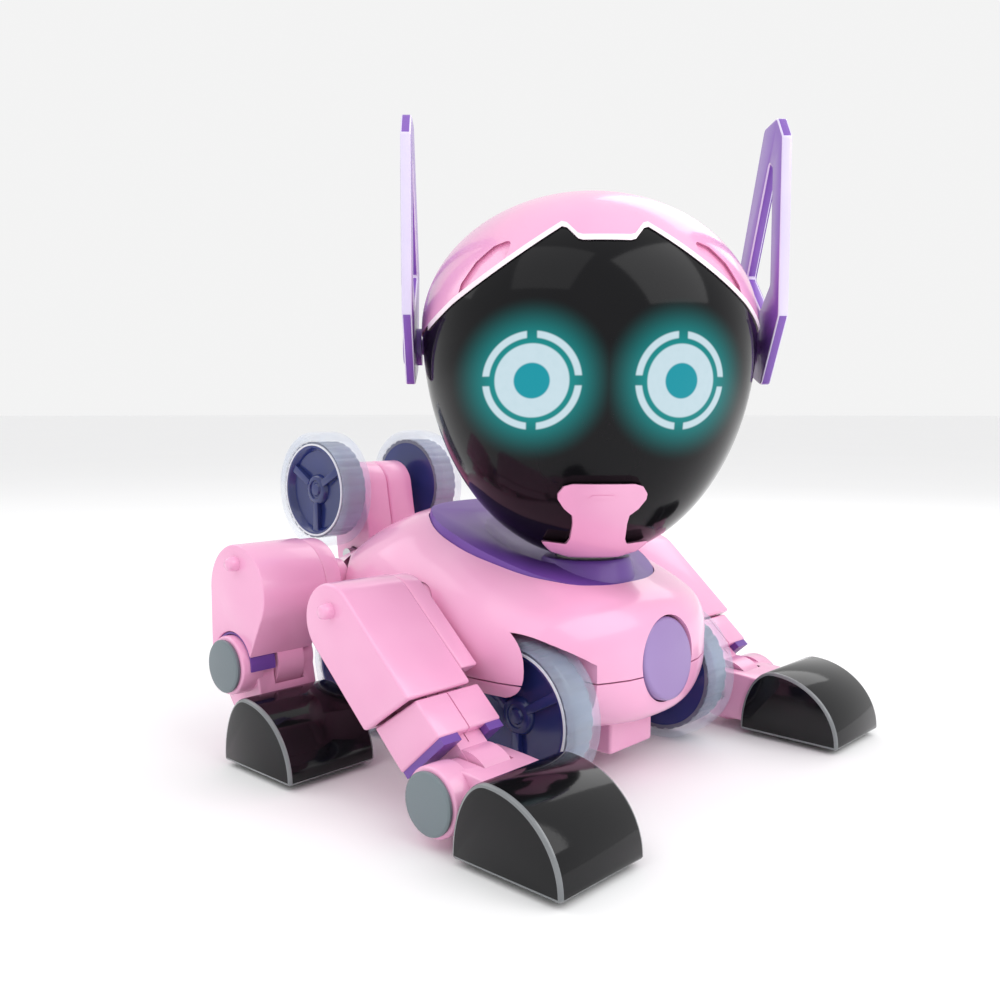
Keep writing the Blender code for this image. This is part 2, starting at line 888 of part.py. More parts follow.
def wheel(name, side, inner_x, width, drum_radius, tyre_radius, y, z, tyre_sides):
    """A hub of three spokes on a drum, and the clear tyre round it."""
    start, end = side * inner_x, side * (inner_x + width)
    hub = crosswise(f"{name}_hub", drum_radius, start, end, y, z, navy, sides=28)
    recess_depth = 3.0 * mm
    recess = crosswise(
        f"{name}_recess", drum_radius - 2.2 * mm, end - side * recess_depth,
        end + side * 5.0 * mm, y, z,
    )
    boss = crosswise(f"{name}_boss", 5.2 * mm, start + side * 2.0 * mm, end - side * 0.8 * mm, y, z,
                     sides=12)
    bore_cutter = crosswise(f"{name}_bore", axle_radius + gap, start - side * 5.0 * mm,
                            end - side * 1.8 * mm, y, z, sides=12)
    cut(hub, recess)
    join(hub, boss)
    for step in range(3):
        angle = math.radians(90 + 120 * step)
        spoke = block(
            f"{name}_spoke_{step}",
            (-1.4 * mm, 4.0 * mm, -1.2 * mm),
            (1.4 * mm, drum_radius - 1.5 * mm, 1.2 * mm),
        )
        spoke.matrix_world = (
            Matrix.Translation((end - side * 2.6 * mm, y, z))
            @ Matrix.Rotation(angle, 4, "X")
        )
        join(hub, spoke)
    cut(hub, bore_cutter)
    tyre = crosswise(f"{name}_tyre", tyre_radius, start, end, y, z, clear, sides=tyre_sides)
    bore_radius = (drum_radius + gap) / math.cos(math.pi / tyre_sides)
    cut(
        tyre,
        crosswise(f"{name}_tyre_bore", bore_radius, start - side * 5.0 * mm,
                  end + side * 5.0 * mm, y, z, sides=tyre_sides),
    )


def wheels():
    for side, word in ((1, "left"), (-1, "right")):
        for place, y in axles.items():
            wheel(
                f"{place}_{word}_wheel", side, wheel_inner[place], drive_wheel_width,
                drive_drum_radius, drive_tyre_radius / math.cos(math.pi / drive_tyre_sides), y,
                axle_height, drive_tyre_sides,
            )
        wheel(
            f"tail_{word}_wheel", side, tail_wheel_inner, tail_wheel_width,
            tail_drum_radius, tail_tyre_radius, tail_axle_y, tail_axle_z, tail_tyre_sides,
        )


tail_axle_y = half_length - tail_tyre_radius


def tail_arm():
    rise = math.degrees(
        math.atan2(tail_axle_z - tail_pivot_z, tail_axle_y - tail_pivot_y)
    )
    top_radius = tail_arm_radius - 1.0 * mm
    outline = arc((tail_pivot_y, tail_pivot_z), tail_arm_radius, rise + 90, rise + 270, 9)
    outline += arc((tail_axle_y, tail_axle_z), top_radius, rise - 90, rise + 90, 9)
    arm = slab("tail_arm", outline, -tail_arm_half_width, tail_arm_half_width, pink)
    cut(
        arm,
        crosswise("tail_arm_bore", axle_radius + turning_gap, -far_side, far_side, tail_axle_y,
                  tail_axle_z, sides=12),
        crosswise("tail_pivot_bore", tail_pin_radius + turning_gap, -far_side, far_side,
                  tail_pivot_y, tail_pivot_z, sides=12),
    )
    reach = tail_wheel_inner + tail_wheel_width - 2.0 * mm
    crosswise("tail_axle", axle_radius, -reach, reach, tail_axle_y, tail_axle_z, steel, sides=12)
    crosswise("tail_pivot_pin", tail_pin_radius, -tail_pin_reach, tail_pin_reach, tail_pivot_y,
              tail_pivot_z, steel, sides=12)


def along_leg(reach, lift):
    """A side-view point: reach down the front leg from its hip, lift towards its front."""
    slope = front_leg_slope
    return (
        front_hip[0] - reach * math.cos(slope) - lift * math.sin(slope),
        front_hip[1] - reach * math.sin(slope) + lift * math.cos(slope),
    )


def leg_arc(centre, radius, start, end, count):
    """An arc in (reach, lift), as side-view points."""
    return [along_leg(*point) for point in arc(centre, radius, start, end, count)]


front_ankle = along_leg(ankle_distance, 0.0)


def thigh_outline(growth, knee):
    """The thigh from the side: round at the hip, cut across at the knee."""
    radius = thigh_radius + growth
    return leg_arc((0.0, 0.0), radius, 270, 90, 10) + [
        along_leg(knee, radius),
        along_leg(knee - 6.0 * mm, -radius),
    ]


def rear_thigh_outline():
    notch = ankle_boss_radius + 1.4 * mm
    return (
        arc(rear_hip, rear_thigh_radius, 215, -4, 12)
        + [(rear_hip[0] + rear_thigh_radius, rear_ankle[1] - 3.0 * mm)]
        + arc(rear_ankle, notch, -12, 160, 8)
    )


def strip_outline(start, end, half_width):
    """A straight bar between two side-view points."""
    along = (Vector(end) - Vector(start)).normalized()
    across = Vector((-along.y, along.x)) * half_width
    start, end = Vector(start), Vector(end)
    return [tuple(start + across), tuple(start - across), tuple(end - across), tuple(end + across)]


def shoe_outline(toe_y):
    """The shoe from the side, toe to the front: a steep back and a long curve to the toe."""
    back = toe_y + shoe_length
    share = shoe_length * shoe_back_share
    lip = 1.2 * mm
    top_y = back - share
    low = sole_clearance
    crown = arc((top_y, low + lip), (share, shoe_height - lip), 0, 90, 6)
    toe = arc((top_y, low + lip), (shoe_length - share, shoe_height - lip), 90, 180, 8)
    return [(back, low)] + crown + toe[1:] + [(toe_y + 0.5 * mm, low)]


def foot(name, side, ankle, outline, toe_y):
    """Foot block with its ankle cheeks, the shoe it fills, and the capped pin."""
    block_piece = slab(f"{name}_foot", outline, side * foot_inner, side * foot_outer, pink)
    boss = crosswise(f"{name}_boss", ankle_boss_radius, side * (foot_outer - 2.0 * mm),
                     side * boss_outer, *ankle, sides=20)
    slot = crosswise(f"{name}_slot", ankle_boss_radius + 2.2 * mm, side * (tongue_inner - turning_gap),
                     side * (tongue_outer + turning_gap), *ankle, sides=20)
    bore = crosswise(f"{name}_bore", ankle_pin_radius + turning_gap, side * foot_inner / 2,
                     side * far_side, *ankle, sides=12)
    join(block_piece, boss)
    cut(block_piece, slot, bore)
    cap = crosswise(f"{name}_ankle_cap", ankle_cap_radius, side * (boss_outer + gap),
                    side * (boss_outer + gap + ankle_cap_thickness), *ankle, grey, sides=20)
    pin = crosswise(f"{name}_ankle_pin", ankle_pin_radius, side * (foot_inner + 1.0 * mm),
                    side * (boss_outer + 1.0 * mm), *ankle, sides=12)
    join(cap, pin)
    shoe = slab(f"{name}_shoe", shoe_outline(toe_y), side * shoe_inner, side * shoe_outer, black)
    rim = shoe.modifiers.new("rim", "BEVEL")
    rim.width = 1.2 * mm
    rim.segments = 1
    rim.limit_method = "ANGLE"
    rim.angle_limit = math.radians(60)
    pocket = slab(f"{name}_shoe_pocket", grown(outline, 2 * gap), side * (foot_inner - 2 * gap),
                  side * (foot_outer + 2 * gap))
    heel_room = crosswise(f"{name}_heel_room", ankle_boss_radius + 2 * gap, side * foot_inner,
                          side * far_side, *ankle, sides=20)
    cut(shoe, pocket, heel_room)


def shin(name, side, inner_face, hip, hip_radius, body_outline, ankle):
    """The shin: a tongue up inside the thigh cover, the visible block, and a tongue at the ankle."""
    inside = (cover_inner + 2 * turning_gap, shin_outer - turning_gap)
    piece = slab(f"{name}_shin", body_outline, side * inner_face, side * shin_outer, pink)
    head = crosswise(f"{name}_tongue_head", hip_radius, side * inside[0], side * inside[1], *hip)
    bar = slab(f"{name}_tongue", strip_outline(hip, ankle, ankle_tongue_radius),
               side * tongue_inner, side * tongue_outer)
    end = crosswise(f"{name}_tongue_end", ankle_tongue_radius, side * tongue_inner,
                    side * tongue_outer, *ankle, sides=20)
    pin_bore = crosswise(f"{name}_pin_bore", ankle_pin_radius + turning_gap, side * foot_inner / 2,
                         side * far_side, *ankle, sides=12)
    join(piece, head, bar, end)
    cut(piece, pin_bore)


def thigh(name, side, hip, outline, edge_width, pocket, plate):
    cover = slab(f"{name}_thigh_cover", outline, side * cover_inner, side * cover_outer, pink)
    edge = cover.modifiers.new("edge", "BEVEL")
    edge.width = edge_width
    edge.segments = 1
    edge.limit_method = "ANGLE"
    edge.angle_limit = math.radians(60)
    for index, (shape_outline, kind) in enumerate(pocket):
        start = side * (cover_inner - 5.0 * mm - index * gap)
        end = side * (cover_outer - leg_wall - index * gap)
        if kind == "disc":
            centre, radius = shape_outline
            cutter = crosswise(f"{name}_pocket_{index}", radius, start, end, *centre)
        else:
            cutter = slab(f"{name}_pocket_{index}", shape_outline, start, end)
        cut(cover, cutter)
    inner_plate = slab(f"{name}_thigh_plate", plate, side * plate_inner, side * (cover_inner - gap),
                       pink)
    boss = crosswise(f"{name}_hip_boss", hip_boss_radius, side * hip_boss_inner,
                     side * (plate_inner + 2.0 * mm), *hip, sides=20)
    join(inner_plate, boss)


def front_leg(side, word):
    name = f"front_{word}"
    inner_radius = thigh_radius - leg_wall
    knee_gap = turning_gap
    pocket_outline = leg_arc((0.0, 0.0), inner_radius, 270, 90, 10) + [
        along_leg(thigh_length + 8.0 * mm, inner_radius),
        along_leg(thigh_length + 8.0 * mm, -inner_radius),
    ]
    thigh(
        name, side, front_hip, thigh_outline(0.0, thigh_length), 1.2 * mm,
        [(pocket_outline, "outline")],
        thigh_outline(-0.6 * mm, thigh_length - 6.0 * mm),
    )
    half = thigh_radius - 1.2 * mm
    lower = [
        along_leg(thigh_length + knee_gap, half),
        along_leg(shin_length, half),
        along_leg(shin_length - 2.6 * mm, -half),
        along_leg(thigh_length - 6.0 * mm + knee_gap, -half),
    ]
    shin(name, side, shin_inner, front_hip, inner_radius - turning_gap, lower, front_ankle)
    toe_y = -half_length
    block_back = toe_y + 14.0 * mm
    low = sole_clearance + 2.4 * mm
    outline = (
        arc(front_ankle, ankle_boss_radius - 0.8 * mm, 250, 360, 6)
        + arc(front_ankle, ankle_boss_radius - 0.8 * mm, 10, 75, 4)
        + [
            (front_ankle[0] - 9.0 * mm, front_ankle[1] + 9.5 * mm),
            (block_back, front_ankle[1] + 7.0 * mm),
            (block_back, low),
        ]
    )
    foot(name, side, front_ankle, outline, toe_y)


def rear_leg(side, word):
    name = f"rear_{word}"
    reach = ankle_boss_radius + 1.0 * mm
    shin_end = (rear_ankle[0] - 1.0 * mm, rear_ankle[1] + reach)
    shin_half = 9.8 * mm
    past_shin = tuple(Vector(shin_end) + (Vector(shin_end) - Vector(rear_hip)))
    bar = strip_outline(rear_hip, past_shin, shin_half + turning_gap)
    thigh(
        name, side, rear_hip, rear_thigh_outline(), 0.5 * mm,
        [((rear_hip, rear_thigh_radius - leg_wall), "disc"), (bar, "outline")],
        arc(rear_hip, rear_thigh_radius - 0.6 * mm, 230, -30, 14)
        + [(rear_ankle[0] + 9.0 * mm, rear_ankle[1] + ankle_boss_radius + 1.0 * mm),
           (rear_ankle[0] - 13.0 * mm, rear_ankle[1] + ankle_boss_radius + 1.0 * mm)],
    )
    lower = strip_outline(rear_hip, shin_end, shin_half)
    shin(name, side, cover_inner + turning_gap, rear_hip, rear_thigh_radius - leg_wall - turning_gap,
         lower, rear_ankle)
    low = sole_clearance + 2.4 * mm
    toe_y = rear_shoe_toe_y
    outline = (
        [(toe_y + shoe_length - 3.0 * mm, low), (rear_ankle[0] + 11.5 * mm, rear_ankle[1] - 13.0 * mm)]
        + arc(rear_ankle, ankle_boss_radius - 0.8 * mm, -15, 195, 9)
        + [
            (rear_ankle[0] - 13.0 * mm, rear_ankle[1] - 16.0 * mm),
            (toe_y + 14.0 * mm, rear_ankle[1] - 16.0 * mm),
            (toe_y + 14.0 * mm, low),
        ]
    )
    foot(name, side, rear_ankle, outline, toe_y)


body_shells()
neck_collar()
neck_post()
chest_button()
battery_box()
inner_parts()
head_pieces()
eye_board()
ears()
wheels()
tail_arm()
for side, word in ((1, "left"), (-1, "right")):
    front_leg(side, word)
    rear_leg(side, word)
for piece in parts.objects:
    piece.data.shade_smooth()
    piece.data.set_sharp_from_angle(angle=math.radians(30))
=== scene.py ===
import math

import bmesh
import bpy
from mathutils import Matrix, Vector


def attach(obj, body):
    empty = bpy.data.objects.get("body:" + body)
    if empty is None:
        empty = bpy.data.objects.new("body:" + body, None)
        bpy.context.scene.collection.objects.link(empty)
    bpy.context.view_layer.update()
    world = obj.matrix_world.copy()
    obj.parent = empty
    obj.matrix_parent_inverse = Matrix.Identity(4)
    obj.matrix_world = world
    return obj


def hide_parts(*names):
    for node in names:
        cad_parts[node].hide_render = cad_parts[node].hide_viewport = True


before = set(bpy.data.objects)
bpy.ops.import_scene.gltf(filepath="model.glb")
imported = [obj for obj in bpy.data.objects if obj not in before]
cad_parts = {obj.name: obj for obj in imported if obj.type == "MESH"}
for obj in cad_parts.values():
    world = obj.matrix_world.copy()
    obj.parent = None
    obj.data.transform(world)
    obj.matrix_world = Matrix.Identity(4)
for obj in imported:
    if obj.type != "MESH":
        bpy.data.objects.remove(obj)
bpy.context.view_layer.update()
mm = 0.001
headTurn = 45.0   # towards its right, at rest
neckY = -40.0   # the head turns about this upright line
acrossX = Matrix(((0, 0, 1, 0), (1, 0, 0, 0), (0, 1, 0, 0), (0, 0, 0, 1)))  # outline in (y, z), depth along x
neckPlace = Matrix.Translation((0, neckY * mm, 0))
headPlace = neckPlace @ Matrix.Rotation(math.radians(-headTurn), 4, "Z")
print("frame loaded")


class Wire:
    # a shader socket that takes part in sums
    def __init__(self, graph, socket):
        self.graph = graph
        self.socket = socket

    def maths(self, operation, other=None, swapped=False):
        ends = (other, self) if swapped else (self, other)
        return self.graph.add("ShaderNodeMath", {"operation": operation}, *ends)

    def __add__(self, other):
        return self.maths("ADD", other)

    def __sub__(self, other):
        return self.maths("SUBTRACT", other)

    def __mul__(self, other):
        return self.maths("MULTIPLY", other)

    def __rsub__(self, other):
        return self.maths("SUBTRACT", other, True)

    def __gt__(self, other):
        return self.maths("GREATER_THAN", other)

    __radd__ = __add__
    __rmul__ = __mul__


class Graph:
    def __init__(self, name):
        self.material = bpy.data.materials.new(name)
        self.material.use_nodes = True
        self.tree = self.material.node_tree
        self.shader = self.tree.nodes["Principled BSDF"]
        self.place = self.add("ShaderNodeTexCoord", {}, out="Object")

    def feed(self, socket, value):
        if isinstance(value, Wire):
            self.tree.links.new(value.socket, socket)
        elif value is not None:
            socket.default_value = value

    def add(self, kind, settings, *values, out=0, **named):
        node = self.tree.nodes.new(kind)
        for key, value in settings.items():
            setattr(node, key, value)
        for index, value in enumerate(values):
            self.feed(node.inputs[index], value)
        for key, value in named.items():
            self.feed(node.inputs[key], value)
        return Wire(self, node.outputs[out])

    def blend(self, share, first, second):
        # two colours by a share
        node = self.tree.nodes.new("ShaderNodeMix")
        node.data_type = "RGBA"
        self.feed(node.inputs[0], share)
        self.feed(node.inputs[6], first)
        self.feed(node.inputs[7], second)
        return Wire(self, node.outputs[2])

    def ramp(self, value, low, high, start=0.0, end=1.0):
        # smooth step from start to end as value goes from low to high
        settings = {"interpolation_type": "SMOOTHSTEP"}
        return self.add("ShaderNodeMapRange", settings, value, low, high, start, end)

    def speckle(self, scale, detail=2.0, rough=0.5, stretch=None):
        where = self.place
        if stretch:
            where = self.add("ShaderNodeVectorMath", {"operation": "MULTIPLY"}, where, stretch)
        return self.add("ShaderNodeTexNoise", {}, Vector=where, Scale=scale, Detail=detail,
                        Roughness=rough)

    def bump(self, height, depth, before=None):
        settings = {"Strength": 1.0, "Distance": depth, "Height": height}
        if before is not None:
            settings["Normal"] = before
        return self.add("ShaderNodeBump", {}, **settings)

    def set(self, **values):
        for key, value in values.items():
            self.feed(self.shader.inputs[key.replace("_", " ")], value)
        return self.material


def moulded(name, look):
    # moulded plastic: slow colour drift, flow marks, orange peel, hairline scuffs
    graph = Graph(name)
    drift = graph.ramp(graph.speckle(28, 2.0), 0.35, 0.65)
    flow = graph.speckle(look.get("flowScale", 60), 3.0, 0.6, (1.0, 1.0, 3.5))
    peel = graph.speckle(900, 2.0)
    scuffs = graph.ramp(graph.speckle(240, 3.0, 0.7, (1.0, 7.0, 1.0)), 0.66, 0.74)
    worn = graph.ramp(graph.speckle(55, 2.0), 0.52, 0.66)
    marks = scuffs * worn * look.get("wear", 0.35)
    tint = graph.blend(drift, look["colour"], look["shade"])
    tint = graph.blend(marks, tint, look["scuffed"])
    gloss = look["roughness"] + (flow - 0.5) * 0.08 + marks * 0.3
    relief = graph.bump(peel + flow * 0.6, look.get("peelDepth", 0.012) * mm)
    graph.set(Base_Color=tint, Roughness=gloss, Normal=relief,
              Coat_Weight=look.get("coat", 0.4) - marks * 0.4)
    return graph.set(Coat_Roughness=look.get("coatRoughness", 0.06), IOR=1.47,
                     Specular_IOR_Level=look.get("specular", 0.5),
                     Metallic=look.get("metallic", 0.0))


looks = {
    "pink": {"colour": (0.88, 0.42, 0.64, 1), "shade": (0.86, 0.39, 0.615, 1),
             "scuffed": (0.93, 0.55, 0.73, 1), "roughness": 0.25, "coat": 0.45, "wear": 0.07},
    # a pale pink that paints the highlight along the brow's chamfer
    "browHighlightPink": {"colour": (0.96, 0.83, 0.90, 1), "shade": (0.94, 0.79, 0.87, 1),
                 "scuffed": (0.98, 0.9, 0.94, 1), "roughness": 0.22, "coat": 0.5, "wear": 0.05},
    "purple": {"colour": (0.16, 0.065, 0.36, 1), "shade": (0.14, 0.055, 0.32, 1),
               "scuffed": (0.32, 0.22, 0.55, 1), "roughness": 0.42, "coat": 0.12, "wear": 0.1},
    "earPurple": {"colour": (0.24, 0.10, 0.50, 1), "shade": (0.20, 0.08, 0.44, 1),
                  "scuffed": (0.45, 0.33, 0.68, 1), "roughness": 0.34, "coat": 0.3, "wear": 0.1},
    # a pale lilac that paints the highlight on the ears' front edges and bevels
    "earEdgeHighlight": {"colour": (0.76, 0.70, 0.89, 1), "shade": (0.70, 0.63, 0.85, 1),
                "scuffed": (0.75, 0.68, 0.9, 1), "roughness": 0.25, "coat": 0.5},
    "lilac": {"colour": (0.33, 0.225, 0.49, 1), "shade": (0.31, 0.205, 0.46, 1),
              "scuffed": (0.48, 0.38, 0.62, 1), "roughness": 0.34, "coat": 0.2, "wear": 0.1},
    "navy": {"colour": (0.022, 0.035, 0.17, 1), "shade": (0.016, 0.026, 0.13, 1),
             "scuffed": (0.06, 0.08, 0.24, 1), "roughness": 0.22, "coat": 0.3, "wear": 0.1},
    # the tread's own grey, tinted blue to paint its sheen
    "tread": {"colour": (0.17, 0.19, 0.25, 1), "shade": (0.11, 0.12, 0.17, 1),
              "scuffed": (0.30, 0.32, 0.38, 1), "roughness": 0.3, "coat": 0.3,
              "flowScale": 140},
    "rimWhite": {"colour": (0.78, 0.80, 0.86, 1), "shade": (0.70, 0.73, 0.80, 1),
                 "scuffed": (0.9, 0.9, 0.92, 1), "roughness": 0.25, "coat": 0.4},
    "shoeBlack": {"colour": (0.004, 0.004, 0.005, 1), "shade": (0.006, 0.006, 0.007, 1),
                  "scuffed": (0.02, 0.02, 0.022, 1), "roughness": 0.1, "coat": 0.1,
                  "coatRoughness": 0.03, "specular": 0.28, "wear": 0.2},
    # a grey that paints the highlight along the shoes' bevelled edges
    "shoeEdgeHighlight": {"colour": (0.20, 0.21, 0.22, 1), "shade": (0.15, 0.16, 0.17, 1),
                 "scuffed": (0.3, 0.3, 0.31, 1), "roughness": 0.2, "coat": 0.5},
    "capGrey": {"colour": (0.165, 0.205, 0.225, 1), "shade": (0.15, 0.185, 0.205, 1),
                "scuffed": (0.28, 0.31, 0.33, 1), "roughness": 0.42, "coat": 0.1,
                "peelDepth": 0.03},
    "inside": {"colour": (0.50, 0.50, 0.47, 1), "shade": (0.44, 0.44, 0.41, 1),
               "scuffed": (0.62, 0.62, 0.6, 1), "roughness": 0.5, "coat": 0.0},
    "board": {"colour": (0.02, 0.17, 0.06, 1), "shade": (0.015, 0.13, 0.05, 1),
              "scuffed": (0.10, 0.28, 0.14, 1), "roughness": 0.35, "coat": 0.4},
    "steel": {"colour": (0.60, 0.60, 0.62, 1), "shade": (0.52, 0.52, 0.54, 1),
              "scuffed": (0.72, 0.72, 0.73, 1), "roughness": 0.28, "coat": 0.0,
              "metallic": 1.0, "flowScale": 300},
}
finishes = {name: moulded(name, look) for name, look in looks.items()}

clearLook = {"colour": (0.70, 0.80, 0.96, 1), "shade": (0.60, 0.72, 0.93, 1), "alpha": 0.16}


def clearSoft(look):
    # see-through tyre rubber: cloudier in patches
    graph = Graph("clearTyre")
    cloud = graph.ramp(graph.speckle(90, 3.0), 0.35, 0.7)
    peel = graph.speckle(700, 2.0)
    graph.set(Base_Color=graph.blend(cloud, look["colour"], look["shade"]),
              Roughness=0.06 + cloud * 0.08, Alpha=look["alpha"] + cloud * 0.10,
              Normal=graph.bump(peel, 0.01 * mm))
    return graph.set(IOR=1.45, Coat_Weight=0.5, Coat_Roughness=0.04)


finishes["clear"] = clearSoft(clearLook)

eyeLook = {
    "across": 24.3, "height": 142.2,      # middle of each eye, mm
    "pupil": 5.7, "disc": 11.8, "ringInner": 13.6, "ringOuter": 15.8, "ringGap": 1.6,
    "glow": 27.0,
    "light": (0.58, 0.73, 0.80, 1), "teal": (0.0, 0.30, 0.37, 1), "halo": (0.0, 0.27, 0.27, 1),
    "strength": 1.0, "soft": 0.35,   # soft: half the blur of an edge
    "black": (0.003, 0.003, 0.004, 1), "haze": (0.006, 0.006, 0.007, 1),
}


def litVisor(look):
    # gloss black, with lamps that show through it
    graph = Graph("litVisor")
    turn = math.radians(headTurn)
    moved = graph.add("ShaderNodeVectorMath", {"operation": "SUBTRACT"}, graph.place,
                      (0, neckY * mm, 0))
    across = graph.add("ShaderNodeVectorMath", {"operation": "DOT_PRODUCT"}, moved,
                       (math.cos(turn) / mm, -math.sin(turn) / mm, 0), out="Value")
    ahead = graph.add("ShaderNodeVectorMath", {"operation": "DOT_PRODUCT"}, moved,
                      (-math.sin(turn) / mm, -math.cos(turn) / mm, 0), out="Value")
    up = graph.add("ShaderNodeVectorMath", {"operation": "DOT_PRODUCT"}, moved,
                   (0, 0, 1 / mm), out="Value")
    side = across.maths("ABSOLUTE") - look["across"]
    rise = up - look["height"]
    away = (side * side + rise * rise).maths("SQRT")
    nearCross = side.maths("ABSOLUTE").maths("MINIMUM", rise.maths("ABSOLUTE"))
    front = ahead > 10.0
    soft = look["soft"]

    def inside(radius):
        return graph.ramp(away, radius - soft, radius + soft, 1.0, 0.0)

    disc = inside(look["disc"])
    pupil = inside(look["pupil"])
    ring = inside(look["ringOuter"]) - inside(look["ringInner"])
    arcs = ring * graph.ramp(nearCross, look["ringGap"] - soft, look["ringGap"] + soft)
    fade = graph.ramp(away, 9.0, look["glow"], 1.0, 0.0)
    grain = graph.speckle(420, 2.0)
    lit = (disc + arcs).maths("MINIMUM", 1.0) * (0.94 + grain * 0.1)
    glow = graph.blend(fade * front, (0, 0, 0, 1), look["halo"])
    shown = graph.blend(lit * front, glow, look["light"])
    shown = graph.blend(pupil * front, shown, look["teal"])
    haze = graph.speckle(35, 2.0)
    peel = graph.speckle(500, 2.0)
    graph.set(Base_Color=graph.blend(haze, look["black"], look["haze"]),
              Roughness=0.07 + haze * 0.06, Normal=graph.bump(peel, 0.004 * mm),
              Emission_Color=shown)
    return graph.set(Emission_Strength=look["strength"], IOR=1.45, Specular_IOR_Level=0.2)


finishes["visor"] = litVisor(eyeLook)
print("finishes made")


def fromShape(name, shape):
    bmesh.ops.recalc_face_normals(shape, faces=shape.faces)
    mesh = bpy.data.meshes.new(name)
    shape.to_mesh(mesh)
    shape.free()
    thing = bpy.data.objects.new(name, mesh)
    bpy.context.scene.collection.objects.link(thing)
    return thing


def settle(thing):
    # the modifiers' result becomes the mesh
    bpy.context.view_layer.update()
    graph = bpy.context.evaluated_depsgraph_get()
    mesh = bpy.data.meshes.new_from_object(thing.evaluated_get(graph))
    thing.modifiers.clear()
    thing.data = mesh
    return thing


def carve(thing, *tools, how="DIFFERENCE"):
    for tool in tools:
        step = thing.modifiers.new("carve", "BOOLEAN")
        step.operation, step.solver, step.object = how, "EXACT", tool
    settle(thing)
    for tool in tools:
        bpy.data.objects.remove(tool)
    return thing


def soften(thing, width, steps=3, angle=35, edgeHighlightSlot=-1):
    # the bevel faces can take another finish slot; ears and shoes use it for a painted edge highlight
    step = thing.modifiers.new("soften", "BEVEL")
    step.width, step.segments, step.material = width * mm, steps, edgeHighlightSlot
    step.limit_method, step.angle_limit = "ANGLE", math.radians(angle)
    return thing


def bridge(shape, first, second):
    # faces between two closed rows of points
    count = len(first)
    for step in range(count):
        after = (step + 1) % count
        shape.faces.new((first[step], first[after], second[after], second[step]))


def prism(name, outline, low, high, place=Matrix.Identity(4)):
    # a flat outline in mm, swept from low to high along the place's Z
    shape = bmesh.new()
    rows = [[shape.verts.new((x * mm, y * mm, z * mm)) for x, y in outline] for z in (low, high)]
    shape.faces.new(rows[0][::-1])
    shape.faces.new(rows[1])
    bridge(shape, *rows)
    bmesh.ops.transform(shape, matrix=place, verts=shape.verts)
    return fromShape(name, shape)


def sidePrism(name, outline, start, end):
    # a (y, z) outline swept along X
    return prism(name, outline, *sorted((start, end)), acrossX)


def box(name, low, high):
    # between two corners; the x values come in either order
    left, right = sorted((low[0], high[0]))
    outline = [(left, low[1]), (right, low[1]), (right, high[1]), (left, high[1])]
    return prism(name, outline, low[2], high[2])


def turned(name, profile, place, sides=64, ring=False):
    # a profile of (radius, height) in mm, turned round the place's Z
    shape = bmesh.new()
    rows = []
    for radius, height in profile:
        if radius == 0:
            rows.append([shape.verts.new((0, 0, height * mm))])
            continue
        rows.append([
            shape.verts.new((radius * mm * math.cos(2 * math.pi * step / sides),
                             radius * mm * math.sin(2 * math.pi * step / sides), height * mm))
            for step in range(sides)
        ])
    pairs = list(zip(rows, rows[1:])) + ([(rows[-1], rows[0])] if ring else [])
    for first, second in pairs:
        if len(first) == len(second):
            bridge(shape, first, second)
            continue
        (tip,), rim = sorted((first, second), key=len)
        for step in range(sides):
            shape.faces.new((tip, rim[step], rim[(step + 1) % sides]))
    bmesh.ops.transform(shape, matrix=place, verts=shape.verts)
    return fromShape(name, shape)


def alongX(side, x, y, z):
    # a place whose Z points outwards from the middle plane
    turn = Matrix.Rotation(side * math.pi / 2, 4, "Y")
    return Matrix.Translation((side * x * mm, y * mm, z * mm)) @ turn


def plug(name, radius, start, end, place, sides=48):
    # a plain round bar along the place's Z, to cut or join with
    return turned(name, [(0, start), (radius, start), (radius, end), (0, end)], place, sides)


def rod(name, radius, start, end, y, z, sides=48):
    return plug(name, radius, *sorted((start, end)), alongX(1, 0, y, z), sides)


def arc(centre, radius, start, end, count):
    # angles in degrees, 0 towards the tail and 90 up
    wide, tall = radius if isinstance(radius, tuple) else (radius, radius)
    points = []
    for step in range(count + 1):
        angle = math.radians(start + (end - start) * step / count)
        points.append((centre[0] + wide * math.cos(angle), centre[1] + tall * math.sin(angle)))
    return points


def rounded(outline, radius, steps=5):
    # the outline with its corners rounded
    result = []
    count = len(outline)
    for index in range(count):
        here = Vector(outline[index])
        back = Vector(outline[index - 1]) - here
        ahead = Vector(outline[(index + 1) % count]) - here
        turn = back.angle(ahead)
        if turn > math.radians(172):
            result.append(tuple(here))
            continue
        reach = min(radius / math.tan(turn / 2), 0.45 * back.length, 0.45 * ahead.length)
        first = here + back.normalized() * reach
        last = here + ahead.normalized() * reach
        for step in range(steps + 1):
            share = step / steps
            between = first.lerp(here, share).lerp(here.lerp(last, share), share)
            result.append(tuple(between))
    return result


def grown(outline, amount):
    area = sum(a[0] * b[1] - b[0] * a[1] for a, b in zip(outline, outline[1:] + outline[:1]))
    side = 1.0 if area > 0 else -1.0
    moved = []
    for before, here, after in zip(outline[-1:] + outline[:-1], outline,
                                   outline[1:] + outline[:1]):
        into = (Vector(here) - Vector(before)).normalized()
        out = (Vector(after) - Vector(here)).normalized()
        corner = (Vector((into.y, -into.x)) + Vector((out.y, -out.x))) * side
        corner = corner * (amount * 2.0 / max(corner.length_squared, 0.5))
        moved.append((here[0] + corner.x, here[1] + corner.y))
    return moved


def mirrored(half):
    return half + [(-across, up) for across, up in reversed(half)]


def hoop(name, outline, inward, low, high, place=Matrix.Identity(4)):
    # a flat band that follows an outline
    outer = prism(name, outline, low, high, place)
    return carve(outer, prism("hoopHole", grown(outline, -inward), low - 5, high + 5, place))


def seamRound(outline, x, width, depth):
    # cutter for a parting line round a side outline
    band = sidePrism("seamBand", grown(outline, 3), x - width / 2, x + width / 2)
    return carve(band, sidePrism("seamCore", grown(outline, -depth), x - 3, x + 3))


